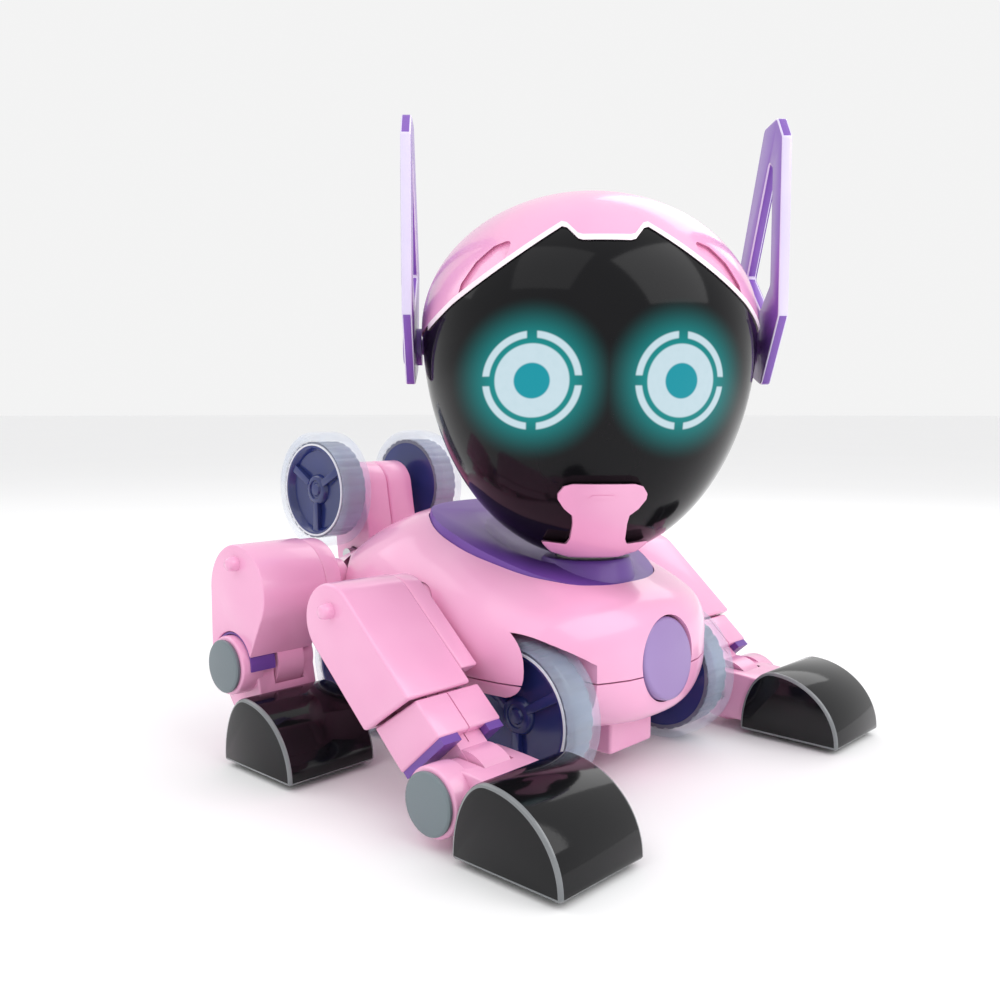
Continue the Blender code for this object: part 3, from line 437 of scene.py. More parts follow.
def dress(thing, finish, body, *nodes):
    # finish, smooth shading, and the body it rides on
    if not thing.data.materials:
        thing.data.materials.append(finishes[finish])
    settle(thing)
    thing.data.shade_smooth()
    thing.data.set_sharp_from_angle(angle=math.radians(38))
    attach(thing, body)
    if nodes:
        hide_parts(*nodes)
    return thing


headLook = {"halfWidth": 62.0, "front": 60.0, "back": 57.0, "widest": 162.0, "top": 212.0,
            "bottom": 77.0, "wall": 2.4, "visorBack": -6.0, "visorSink": 0.35,
            "browSide": 160.0, "browTop": 194.0, "browHalf": 13.5, "tabDepth": 5.2,
            "tabHalf": 9.3, "rimWidth": 2.0, "neckHole": 12.0, "earHole": 3.5,
            "leaf": [(30, 189), (36, 187), (42, 182), (47, 175), (49, 168), (44, 170), (37, 176),
                     (32, 183)], "leafDepth": 1.3}


def eggPoint(across, along, up, inset):
    # a point of a unit ball, made a point of the head in its own frame
    look = headLook
    depth = look["front"] if along < 0 else look["back"]
    height = look["top"] - look["widest"] if up > 0 else look["widest"] - look["bottom"]
    return Vector((across * (look["halfWidth"] - inset), along * (depth - inset),
                   look["widest"] + up * (height - inset))) * mm


def egg(name, inset, around=96, rings=64):
    shape = bmesh.new()
    bmesh.ops.create_uvsphere(shape, u_segments=around, v_segments=rings, radius=1.0)
    for vertex in shape.verts:
        vertex.co = eggPoint(*vertex.co, inset)
    bmesh.ops.transform(shape, matrix=headPlace, verts=shape.verts)
    return fromShape(name, shape)


def onFace(across, height, inset=0.0):
    # the head's front surface at (across, z), in the row frame
    look = headLook
    rise = look["top"] - look["widest"] if height > look["widest"] else \
        look["widest"] - look["bottom"]
    up = (height - look["widest"]) / (rise - inset)
    wide = across / (look["halfWidth"] - inset)
    ahead = math.sqrt(max(0.0, 1 - up * up - wide * wide)) * (look["front"] - inset)
    return headPlace @ (Vector((across, -ahead, height)) * mm)


def facePrism(name, outline, near, far):
    turn = Matrix(((1, 0, 0, 0), (0, 0, -1, 0), (0, 1, 0, 0), (0, 0, 0, 1)))
    return prism(name, outline, near, far, headPlace @ turn)


def browLine(shift):
    look = headLook
    slope = (look["browTop"] - look["browSide"]) / (look["halfWidth"] - look["browHalf"])
    side, top, low = look["browSide"], look["browTop"], look["browTop"] - look["tabDepth"]
    wide = 90.0
    half = [(look["tabHalf"] - 1.5, low + shift), (look["tabHalf"], low + 0.5 + shift),
            (look["browHalf"] - 1.0, top - 0.6 + shift), (look["browHalf"] + 0.6, top + shift),
            (look["halfWidth"] - 12, side + slope * 12 + 1.6 + shift),
            (look["halfWidth"], side + shift),
            (wide, side - slope * (wide - look["halfWidth"]) + shift),
            (wide, 0.0)]
    return mirrored(half)


def strip(name, path, width, thick, inset):
    # a thin band on the head's front along a path of (across, z), its edge rolled in
    shape = bmesh.new()
    rows = []
    for across, height in path:
        outer = onFace(across, height + width * 0.15, -thick)
        lip = onFace(across, height - width * 0.85, -thick * 0.2)
        under = onFace(across, height - width * 0.85, inset)
        back = onFace(across, height + width * 0.15, inset)
        rows.append([shape.verts.new(point) for point in (outer, lip, under, back)])
    for first, second in zip(rows, rows[1:]):
        bridge(shape, first, second)
    shape.faces.new(rows[0])
    shape.faces.new(rows[-1][::-1])
    return fromShape(name, shape)


def makeHead():
    look = headLook
    hollow = egg("headHollow", look["wall"], 64, 40)
    helmet = egg("helmet", 0.0)
    opening = facePrism("browOpening", browLine(0.15), look["visorBack"] - 0.15, 90)
    carve(helmet, hollow, opening, plug("neckHole", look["neckHole"], 55, 100, neckPlace))
    forward, height = earLook["pivot"]
    for side in (1, -1):   # leaf-shaped sinks above the temples
        leaf = [(side * across, up) for across, up in look["leaf"]]
        sink = facePrism("leafSink", rounded(leaf, 2.5), 0, 90)
        carve(sink, egg("leafFloor", look["leafDepth"]))
        carve(helmet, sink)
        carve(helmet, plug("earSocket", look["earHole"], 50, 90,
                           headPlace @ alongX(side, 0, -forward, height), 32))
    dress(helmet, "pink", "head", "head_rear_shell")

    visor = egg("visor", look["visorSink"])
    carve(visor, egg("visorHollow", look["wall"], 64, 40))
    carve(visor, facePrism("visorRegion", browLine(-0.15), look["visorBack"] + 0.15, 90),
          how="INTERSECT")
    carve(visor, plug("chinHole", look["neckHole"], 55, 100, neckPlace))
    dress(visor, "visor", "head", "face_visor")

    path = []
    line = browLine(0.0)[:6]
    ends = [(-a, z) for a, z in reversed(line)] + line
    for (a, z), (b, w) in zip(ends, ends[1:]):
        count = max(2, int(abs(b - a) / 1.5))
        path += [(a + (b - a) * step / count, z + (w - z) * step / count)
                 for step in range(count)]
    path = [(a, z) for a, z in path if abs(a) < 59.5]
    # the band along the brow edge, in the pale pink: a painted highlight on its chamfer
    dress(strip("browRim", path, look["rimWidth"], 0.45, 1.2), "browHighlightPink", "head")


snoutLook = {"lift": 2.6, "gap": 0.35, "round": 1.0, "outline": [
    (10.4, 108.4), (13.2, 107.6), (15.0, 105.0), (14.9, 103.0), (12.6, 99.6), (9.7, 97.2),
    (9.3, 94.0), (9.6, 88.2), (10.6, 86.0), (19.8, 86.9), (15.6, 82.4), (9.0, 80.2)],
    "nose": [(5.2, 103.2), (3.6, 104.6)]}


def makeSnout():
    look = snoutLook
    snout = egg("snout", -look["lift"], 128, 96)
    outline = rounded(mirrored(look["outline"]), look["round"], 4)
    carve(snout, facePrism("snoutRegion", outline, 20, 90), how="INTERSECT")
    carve(snout, egg("snoutBack", -look["gap"]))
    dress(snout, "pink", "head", "snout_piece")
    pad = facePrism("nosePad", rounded(mirrored(look["nose"]), 0.6), 30, 90)
    carve(pad, egg("padOuter", -look["lift"] - 0.25), how="INTERSECT")
    carve(pad, egg("padInner", -look["lift"] + 0.6))
    dress(pad, "pink", "head")


earLook = {"side": 66.0, "thick": 3.6, "pivot": (-12.0, 157.0), "corner": 3.2,
           "outline": [(17, 235.5), (24, 227.5), (24, 166), (4, 142), (-17, 148), (-31, 186),
                       (2, 235.5)],
           "window": [(9, 222), (13, 219), (13, 178), (1, 170), (-18, 184)]}


def makeEars():
    look = earLook
    sidePlane = Matrix(((0, 0, 1, 0), (-1, 0, 0, 0), (0, 1, 0, 0), (0, 0, 0, 1)))
    for side, word in ((1, "left"), (-1, "right")):
        body, node = f"{word}_ear", f"ear_{word}"
        place = headPlace @ sidePlane
        low, high = sorted((side * look["side"] - look["thick"] / 2,
                            side * look["side"] + look["thick"] / 2))
        plate = prism(f"{word}EarPlate", rounded(look["outline"], look["corner"]), low, high, place)
        carve(plate, prism("earWindow", rounded(look["window"], 2.0), low - 5, high + 5, place))
        # purple faces, and a paler purple for the painted edge highlight
        for name in ("earPurple", "earEdgeHighlight"):
            plate.data.materials.append(finishes[name])
        ahead = headPlace.to_3x3() @ Vector((0, -1, 0))
        for face in plate.data.polygons:   # the upright front edge takes the paler finish, a painted highlight
            face.material_index = 1 if face.normal.dot(ahead) > 0.9 else 0
        # the bevel faces take the paler finish too: painted highlight along the edges
        soften(plate, 0.5, 2, 40, 1)
        dress(plate, "earPurple", body, node)
        lipLow, lipHigh = (high - 0.1, high + 0.6) if side > 0 else (low - 0.6, low + 0.1)
        lip = hoop(f"{word}EarLip", rounded(grown(look["window"], 2.2), 2.4), 1.1, lipLow,
                   lipHigh, place)
        dress(lip, "earPurple", body)
        forward, height = look["pivot"]
        boss = [(0, 56), (3, 56), (3, 62.4), (7, 62.4), (7, 68.6), (6.2, 69.4), (4.4, 69.4),
                (4.0, 68.9), (0, 68.9)]
        pivot = turned(f"{word}EarBoss", boss, headPlace @ alongX(side, 0, -forward, height), 40)
        dress(pivot, "earPurple", body)


bodyLook = {"power": 0.8, "nose": -78.5, "tail": 99.0, "seamGap": 0.55,
            "sections": ((-76.5, 21.5, 26.0, 60.0), (-71.5, 34.0, 22.0, 65.5),
                         (-60.0, 50.0, 19.5, 70.5), (-38.0, 57.0, 18.5, 79.0),
                         (-8.0, 57.5, 18.0, 89.5), (16.0, 56.5, 18.0, 95.5),
                         (38.0, 54.0, 18.5, 90.0), (60.0, 48.0, 20.5, 78.0),
                         (82.0, 37.0, 27.0, 70.0), (95.0, 20.0, 38.0, 61.0)),
            "seam": ((-200, 40), (-30, 40.3), (-25, 41.6), (-12, 48.4), (-7, 50.5), (200, 51)),
            "wellRadius": 30.2, "wellMargin": 2.5, "skirts": {"front": 35.0, "rear": 53.5},
            "wall": 2.4, "hipHole": 8.5, "tailHole": 13.7, "pinHole": 3.3, "axleHole": 2.0}
drive = {"radius": 27.8, "drum": 24.0, "width": 14.2, "height": 27.8,
         "axles": {"front": (-48.0, 36.0), "rear": (47.0, 29.5)}}   # y, and inner face from x = 0
collarLook = {"front": (-60.0, 69.0), "back": (19.0, 96.0), "half": 40.0, "thick": 7.0,
              "dish": 62.0, "dishDepth": 5.5}
collarRun = Vector(collarLook["back"]) - Vector(collarLook["front"])
collarSlope, collarLength = math.atan2(collarRun.y, collarRun.x), collarRun.length
collarPlace = (Matrix.Translation((0, collarLook["front"][0] * mm, collarLook["front"][1] * mm))
               @ Matrix.Rotation(collarSlope, 4, "X"))
buttonLook = {"radius": 15.0, "y": -75.0, "z": 44.0, "tilt": 8.0, "proud": 3.0}
buttonPlace = (Matrix.Translation((0, buttonLook["y"] * mm, buttonLook["z"] * mm))
               @ Matrix.Rotation(math.radians(90 - buttonLook["tilt"]), 4, "X"))
tailLook = {"pivot": (83.0, 68.0), "axle": (87.0, 98.0), "foot": 12.5, "half": 14.5,
            "radius": 25.6, "drum": 21.2, "inner": 20.9, "width": 12.8}


def sectionAt(y):
    sections = bodyLook["sections"]
    index = 0
    while index < len(sections) - 2 and y > sections[index + 1][0]:
        index += 1
    here, after = sections[index], sections[index + 1]
    before, beyond = sections[max(index - 1, 0)], sections[min(index + 2, len(sections) - 1)]
    span = after[0] - here[0]
    share = (y - here[0]) / span
    values = []
    for column in (1, 2, 3):
        slopeHere = (after[column] - before[column]) / (after[0] - before[0]) * span
        slopeAfter = (beyond[column] - here[column]) / (beyond[0] - here[0]) * span
        square, cube = share ** 2, share ** 3
        values.append((2 * cube - 3 * square + 1) * here[column]
                      + (cube - 2 * square + share) * slopeHere
                      + (3 * square - 2 * cube) * after[column] + (cube - square) * slopeAfter)
    return values


def trunkForm(name, inset, rings=58, around=96):
    look = bodyLook
    shape = bmesh.new()
    loops = []
    first, last = look["sections"][0][0], look["sections"][-1][0]
    for ring in range(rings):
        y = first + (last - first) * ring / (rings - 1)
        width, low, high = sectionAt(y)
        width, low, high = width - inset, low + inset, high - inset
        shift = inset if ring == 0 else -inset if ring == rings - 1 else 0
        loop = []
        for step in range(around):
            angle = 2 * math.pi * step / around
            across, up = math.cos(angle), math.sin(angle)
            across = math.copysign(abs(across) ** look["power"], across)
            up = math.copysign(abs(up) ** look["power"], up)
            loop.append(shape.verts.new((width * across * mm, (y + shift) * mm,
                                         ((low + high) / 2 + (high - low) / 2 * up) * mm)))
        loops.append(loop)
    for before, after in zip(loops, loops[1:]):
        bridge(shape, before, after)
    for loop, tip in ((loops[0], look["nose"] + inset), (loops[-1], look["tail"] - inset)):
        centre = Vector((0, 0, sum(vertex.co.z for vertex in loop) / len(loop)))
        middle = []
        for vertex in loop:   # one rounder ring before the tip
            spot = centre.lerp(vertex.co, 0.55)
            spot.y = vertex.co.y + (tip * mm - vertex.co.y) * 0.72
            middle.append(shape.verts.new(spot))
        end = shape.verts.new((0, tip * mm, centre.z))
        bridge(shape, loop, middle)
        for step in range(around):
            shape.faces.new((middle[step], middle[(step + 1) % around], end))
    bmesh.ops.triangulate(shape, faces=[face for face in shape.faces if len(face.verts) > 3])
    return fromShape(name, shape)


def seamSide(above, shift):
    edge = [(y, z + shift) for y, z in bodyLook["seam"]]
    level = 200 if above else -200
    return edge + [(200, level), (-200, level)]


def wellCutters():
    look = bodyLook
    made = []
    reach = look["wellRadius"] + 0.3
    for side in (1, -1):
        for place, (y, inner) in drive["axles"].items():
            outer = inner + drive["width"] + look["wellMargin"]
            made.append(rod("well", look["wellRadius"], side * (inner - look["wall"]),
                            side * outer, y, drive["height"], 72))
            made.append(box("skirt", (side * (outer - 0.3), y - reach, -100),
                            (side * 150, y + reach, look["skirts"][place])))
    return made


def shield(growth, smooth=3):
    half, length = collarLook["half"], collarLength
    points = mirrored([(0.27 * half, 0.0), (0.62 * half, 0.07 * length),
                       (0.88 * half, 0.24 * length), (half, 0.52 * length),
                       (0.95 * half, 0.80 * length), (0.68 * half, length)])
    for _ in range(smooth):   # cut each corner, again and again
        cutCorners = []
        for here, after in zip(points, points[1:] + points[:1]):
            a, b = Vector(here), Vector(after)
            cutCorners += [tuple(a.lerp(b, 0.2)), tuple(a.lerp(b, 0.8))]
        points = cutCorners
    return grown(points, growth)


def makeTrunk():
    look = bodyLook
    hollow = trunkForm("trunkHollow", look["wall"], 30, 48)
    for side in (1, -1):   # the hollow stays clear of the wheel wells
        for start, end, channel in ((-150, 0, 31.2), (0, 150, 24.7)):
            carve(hollow, box("flank", (side * channel, start, -150), (side * 150, end, 60.4)))
    trunk = trunkForm("trunk", 0.0)
    carve(trunk, hollow)
    carve(trunk, *wellCutters())
    carve(trunk, plug("buttonHole", buttonLook["radius"] + 0.6, -20, 20, buttonPlace, 64))
    carve(trunk, prism("collarSeat", shield(0.35), -collarLook["thick"] - 0.3, 60, collarPlace))
    for hip in (legLook["frontHip"], legLook["rearHip"]):
        carve(trunk, rod("hipHole", look["hipHole"], -150, 150, *hip))
    carve(trunk, rod("tailSlot", look["tailHole"], -15.7, 15.7, *tailLook["pivot"]),
          rod("pinHole", look["pinHole"], -18.8, 18.8, *tailLook["pivot"], 24))
    for y, _ in drive["axles"].values():
        carve(trunk, rod("axleHole", look["axleHole"], -150, 150, y, drive["height"], 24))
    lower = trunk.copy()
    lower.data = trunk.data.copy()
    lower.name = "bellyShell"
    bpy.context.scene.collection.objects.link(lower)
    trunk.name = "backShell"
    carve(trunk, sidePrism("belowSeam", seamSide(False, look["seamGap"] / 2), -150, 150))
    carve(lower, sidePrism("aboveSeam", seamSide(True, -look["seamGap"] / 2), -150, 150))
    carve(lower, box("boxHole", (-13.3, -62.3, 0), (13.3, -15.7, 27.8)),
          box("switchSlot", (-3, 7.5, 0), (3, 18.5, 30)))
    dress(trunk, "pink", "trunk", "body_upper_shell")
    dress(lower, "pink", "trunk", "body_lower_shell")


def makeCollar():
    look = collarLook
    collar = prism("collar", shield(0.0), -look["thick"], 0.0, collarPlace)
    dish = bmesh.new()
    bmesh.ops.create_uvsphere(dish, u_segments=128, v_segments=96, radius=look["dish"] * mm)
    middle = collarPlace @ Vector((0, 0.5 * collarLength * mm,
                                   (look["dish"] - look["dishDepth"]) * mm))
    bmesh.ops.translate(dish, vec=middle, verts=dish.verts)
    carve(collar, fromShape("collarDish", dish))
    carve(collar, turned("collarRing", [(0, 67), (19, 67), (17.0, 76.8), (16.2, 78.0), (0, 78.2)],
                         neckPlace, 72), how="UNION")
    carve(collar, plug("collarHole", headLook["neckHole"], 20, 120, neckPlace, 64))
    soften(collar, 0.45, 2, 40)
    dress(collar, "purple", "trunk", "neck_collar")


def makeButton():
    look = buttonLook
    radius, proud = look["radius"], look["proud"]
    button = turned("chestButton", [(0, -3), (radius, -3), (radius, proud - 1.3),
                                    (radius - 0.25, proud - 0.6), (radius - 0.9, proud - 0.15),
                                    (radius - 1.5, proud), (0, proud - 0.25)], buttonPlace, 96)
    dress(button, "lilac", "button", "chest_button")


boxLook = {"half": 13.0, "front": -62.0, "back": -16.0, "low": 8.0, "high": 24.0, "wall": 2.0,
           "screw": -22.0, "grooves": (-52, -48, -44)}


def makeBatteryBox():
    look = boxLook
    half, front, back = look["half"], look["front"], look["back"]
    low, high, wall = look["low"], look["high"], look["wall"]
    tray = box("batteryBox", (-half, front, low), (half, back, high))
    soften(tray, 1.4, 4)
    settle(tray)
    carve(tray, box("boxPocket", (-half + wall, front + wall, low + wall),
                    (half - wall, back - wall, high + 10)))
    carve(tray, turned("screwSeat", [(0, 0), (2.9, 0), (2.9, 9), (1.6, 9), (1.6, 40), (0, 40)],
                       Matrix.Translation((0, look["screw"] * mm, 0)), 32))
    for y in look["grooves"]:   # finger grooves under the lid
        carve(tray, box("gripGroove", (-7, y - 0.7, low - 1), (7, y + 0.7, low + 0.5)))
    dress(tray, "pink", "trunk", "battery_box")


wheelLook = {"ribs": 30, "ribDepth": 0.45}


def gearRing(name, inner, outer, low, high, place, count, depth):
    # a band with shallow grooves across its tread
    shape = bmesh.new()
    rows = []
    steps = count * 6
    for radius, height in ((inner, low), (outer, low), (outer, high), (inner, high)):
        row = []
        for step in range(steps):
            angle = 2 * math.pi * step / steps
            reach = radius - (depth if radius == outer and step % 6 in (0, 1) else 0)
            row.append(shape.verts.new((reach * mm * math.cos(angle),
                                        reach * mm * math.sin(angle), height * mm)))
        rows.append(row)
    for first, second in zip(rows, rows[1:] + rows[:1]):
        bridge(shape, first, second)
    bmesh.ops.transform(shape, matrix=place, verts=shape.verts)
    return fromShape(name, shape)


def makeWheel(word, side, place, y, z, sizes, body, node):
    look = wheelLook
    drum, tyre, start = sizes["drum"], sizes["radius"], sizes["inner"]
    end = start + sizes["width"]
    at = alongX(side, 0, y, z)
    name = f"{place}{word.capitalize()}"
    hub = turned(f"{name}Hub", [
        (0, end - 1.7), (1.9, end - 1.7), (1.9, start + 0.2), (drum - 1.7, start + 0.2),
        (drum - 1.7, end - 0.25), (drum - 2.5, end - 0.25), (drum - 3.2, end - 1.0),
        (drum - 4.2, end - 2.9), (drum * 0.45, end - 3.6), (7.0, end - 3.4), (6.4, end - 1.9),
        (5.6, end - 1.3), (4.2, end - 1.3), (3.9, end - 1.9), (3.0, end - 1.9), (2.4, end - 1.2),
        (0, end - 1.0)], at, 72)
    dress(hub, "navy", body, f"{node}_hub")
    for turn in range(3):
        spoke = prism(f"{name}Spoke{turn}", rounded([(-1.5, 5.6), (1.5, 5.6), (1.9, drum - 3.0),
                                                     (-1.9, drum - 3.0)], 0.5),
                      end - 3.7, end - 1.1,
                      at @ Matrix.Rotation(math.radians(120 * turn + 90), 4, "Z"))
        soften(spoke, 0.5, 3)
        dress(spoke, "navy", body)
    line = turned(f"{name}RimLine", [(drum - 1.7, end - 0.5), (drum - 0.8, end - 0.5),
                                     (drum - 0.9, end - 0.05), (drum - 1.6, end - 0.05)],
                  at, 96, ring=True)
    dress(line, "rimWhite", body)
    tread = gearRing(f"{name}Tread", drum - 1.65, drum - 0.05, start + 0.2, end - 0.5, at,
                     look["ribs"], look["ribDepth"])
    dress(tread, "tread", body)
    outer = turned(f"{name}Tyre", [
        (drum + 0.3, start), (tyre - 1.2, start), (tyre - 0.35, start + 0.45), (tyre, start + 1.5),
        (tyre, end - 1.5), (tyre - 0.35, end - 0.45), (tyre - 1.2, end), (drum + 0.3, end)],
        at, 96, ring=True)
    dress(outer, "clear", body, f"{node}_tyre")


def makeWheels():
    for side, word in ((1, "left"), (-1, "right")):
        for place, (y, inner) in drive["axles"].items():
            makeWheel(word, side, place, y, drive["height"], drive | {"inner": inner},
                      f"{place}_wheels", f"{place}_{word}_wheel")
        makeWheel(word, side, "tail", *tailLook["axle"], tailLook, "tail_wheels",
                  f"tail_{word}_wheel")


def makeTailArm():
    look = tailLook
    pivot, axle, foot, half = look["pivot"], look["axle"], look["foot"], look["half"]
    rise = math.degrees(math.atan2(axle[1] - pivot[1], axle[0] - pivot[0]))
    outline = arc(pivot, foot, rise + 90, rise + 270, 24)
    outline += arc(axle, foot - 1, rise - 90, rise + 90, 24)
    for side, word in ((1, "left"), (-1, "right")):
        part = sidePrism(f"tailArm{word.capitalize()}", outline, side * 0.15, side * half)
        soften(part, 1.1, 3)
        settle(part)
        carve(part, rod("tailBore", 2.0, -40, 40, *axle, 24),
              rod("pivotBore", 3.5, -40, 40, *pivot, 24))
        nodes = ("tail_arm",) if side > 0 else ()
        dress(part, "pink", "tail", *nodes)
    liner = turned("tailLiner", [(13.1, -15.4), (13.6, -15.4), (13.6, 15.4), (13.1, 15.4)],
                   alongX(1, 0, *pivot), 96, ring=True)
    carve(liner, trunkForm("linerLimit", -0.5, 40, 64), how="INTERSECT")
    dress(liner, "purple", "trunk")


legLook = {"coverIn": 68.0, "coverOut": 96.0, "plateIn": 60.0, "shinOut": 92.5, "footIn": 66.0,
           "footOut": 91.6, "bossOut": 98.4, "bossRadius": 11.2, "tongueIn": 72.0,
           "tongueOut": 84.0, "wall": 2.4, "slope": 42.0, "thigh": 13.0, "thighLength": 42.0,
           "shinLength": 59.5, "ankle": 71.0, "frontHip": (-6.0, 62.0), "rearHip": (50.0, 65.0),
           "rearThigh": 18.0, "rearAnkle": (54.0, 37.0), "shoeIn": 63.5, "shoeOut": 101.5,
           "shoeLength": 42.0, "shoeHeight": 26.0, "shoeBack": 0.34, "sole": 2.0, "peg": 4.2,
           "bossIn": 49.0, "hipBoss": 8.0, "pin": 3.3, "tongue": 8.0,
           "seams": {"front": 79.0, "rear": 81.3}, "shinIn": {"front": 64.5, "rear": 68.5},
           "toes": {"front": -112.6, "rear": 10.0}}


def alongLeg(reach, lift):
    # down the front leg from its hip, and towards its front
    look = legLook
    slope = math.radians(look["slope"])
    return (look["frontHip"][0] - reach * math.cos(slope) - lift * math.sin(slope),
            look["frontHip"][1] - reach * math.sin(slope) + lift * math.cos(slope))


def legArc(radius, count):
    return [alongLeg(*point) for point in arc((0, 0), radius, 270, 90, count)]


frontAnkle = alongLeg(legLook["ankle"], 0)


def strap(start, end, half):
    start, end = Vector(start), Vector(end)
    across = (end - start).normalized()
    across = Vector((-across.y, across.x)) * half
    return [tuple(start + across), tuple(start - across), tuple(end - across), tuple(end + across)]


def makeCover(name, side, outline, edge, pockets, node):
    look = legLook
    cover = sidePrism(f"{name}Cover", outline, side * look["coverIn"], side * look["coverOut"])
    soften(cover, edge, 4)
    settle(cover)
    cutters = []
    for index, pocket in enumerate(pockets):
        end = side * (look["coverOut"] - look["wall"] - index * 0.3)
        cutters.append(sidePrism("coverPocket", pocket, side * (look["coverIn"] - 5), end))
    carve(cover, *cutters)
    dress(cover, "pink", f"{node}_leg", f"{node}_thigh_cover")


def makePlate(name, side, hip, outline, node):
    look = legLook
    plate = sidePrism(f"{name}Plate", outline, side * look["plateIn"],
                      side * (look["coverIn"] - 0.3))
    soften(plate, 0.8, 3)
    settle(plate)
    carve(plate, rod("hipBoss", look["hipBoss"], side * look["bossIn"],
                     side * (look["plateIn"] + 2), *hip), how="UNION")
    dress(plate, "pink", f"{node}_leg", f"{node}_thigh_plate")


def makeShin(name, side, end, hip, hipRadius, outline, band, ankle, node):
    look = legLook
    body, inner = f"{node}_leg", look["shinIn"][end]
    tongueIn, tongueOut = look["tongueIn"], look["tongueOut"]
    gapBand = sidePrism(f"{name}AnkleBand", band, side * (inner + 0.7),
                        side * (look["shinOut"] - 0.7))
    carve(gapBand, box("tongueRoom", (side * (tongueIn - 0.2), -150, -50),
                       (side * (tongueOut + 0.2), 150, 150)))
    dress(gapBand, "purple", body)
    fill = turned(f"{name}AnkleFill", [(3.4, tongueIn + 0.2), (12.6, tongueIn + 0.2),
                                       (12.6, tongueOut - 0.2), (3.4, tongueOut - 0.2)],
                  alongX(side, 0, *ankle), 64, ring=True)
    dress(fill, "pink", body)
    shin = sidePrism(f"{name}Shin", outline, side * inner, side * look["shinOut"])
    soften(shin, 0.9, 3)
    settle(shin)
    tongue = sidePrism("tongue", strap(hip, ankle, look["tongue"]), side * tongueIn,
                       side * tongueOut)
    carve(tongue, rod("tongueEnd", look["tongue"] + 0.02, side * (tongueIn + 0.02),
                      side * (tongueOut - 0.02), *ankle), how="UNION")
    carve(tongue, rod("pinBore", look["pin"], side * (tongueIn - 5), side * (tongueOut + 5),
                      *ankle, 32))
    head = rod("shinHead", hipRadius, side * (look["coverIn"] + 1.0),
               side * (look["shinOut"] - 0.5), *hip, 64)
    carve(shin, head, tongue, how="UNION")
    carve(shin, seamRound(outline, side * look["seams"][end], 0.5, 0.7))
    dress(shin, "pink", body, f"{node}_shin")


def makePeg(name, side, y, z, node):
    # the moulded pip that stands out of the cover
    tip = legLook["coverOut"] + legLook["peg"]
    start = legLook["coverOut"] - 1.5
    peg = turned(f"{name}Peg", [(0, start), (3.0, start), (2.6, tip - 2.0), (2.3, tip - 0.7),
                                (1.6, tip - 0.1), (0, tip)], alongX(side, 0, y, z), 32)
    dress(peg, "pink", f"{node}_leg")


def makeFoot(name, side, ankle, outline, toe, node):
    look = legLook
    body = f"{node}_paw"
    foot = sidePrism(f"{name}Foot", outline, side * look["footIn"], side * look["footOut"])
    soften(foot, 0.7, 3, 30)
    settle(foot)
    out, radius = look["bossOut"], look["bossRadius"]
    boss = turned("ankleBoss", [(0, look["footOut"] - 2), (radius, look["footOut"] - 2),
                                (radius, out - 0.9), (radius - 0.3, out - 0.3),
                                (radius - 0.9, out), (0, out)], alongX(side, 0, *ankle), 72)
    carve(foot, boss, how="UNION")
    carve(foot, rod("ankleSlot", radius + 2.2, side * (look["tongueIn"] - 0.5),
                    side * (look["tongueOut"] + 0.5), *ankle, 64),
          rod("ankleBore", look["pin"], side * look["footIn"] / 2, side * 150, *ankle, 24))
    dress(foot, "pink", body, f"{node}_foot")
    cap = turned(f"{name}Cap", [(0, out - 1.0), (2.8, out - 1.0), (2.8, out + 0.3),
                                (9.8, out + 0.3), (10.0, out + 0.6), (10.0, out + 1.4),
                                (9.6, out + 1.8), (9.0, out + 1.9), (0, out + 1.9)],
                 alongX(side, 0, *ankle), 72)
    dress(cap, "capGrey", body, f"{node}_ankle_cap")

    back = toe + look["shoeLength"]
    share = look["shoeLength"] * look["shoeBack"]
    lip, low = 1.2, look["sole"]
    crown = arc((back - share, low + lip), (share, look["shoeHeight"] - lip), 0, 90, 20)
    front = arc((back - share, low + lip), (look["shoeLength"] - share, look["shoeHeight"] - lip),
                90, 180, 28)
    profile = [(back, low)] + crown + front[1:] + [(toe + 0.5, low)]
    shoe = sidePrism(f"{name}Shoe", profile, side * look["shoeIn"], side * look["shoeOut"])
    # the bevel faces take the second finish, the grey painted highlight along the edges
    soften(shoe, 1.5, 3, 60, 1)
    for finish in ("shoeBlack", "shoeEdgeHighlight"):
        shoe.data.materials.append(finishes[finish])
    settle(shoe)
    pocket = sidePrism("shoePocket", grown(outline, 0.6), side * (look["footIn"] - 0.6),
                       side * (look["footOut"] + 0.6))
    carve(shoe, pocket, rod("heelRoom", radius + 0.6, side * look["footIn"], side * 150,
                            *ankle, 64))
    dress(shoe, "shoeBlack", body, f"{node}_shoe")


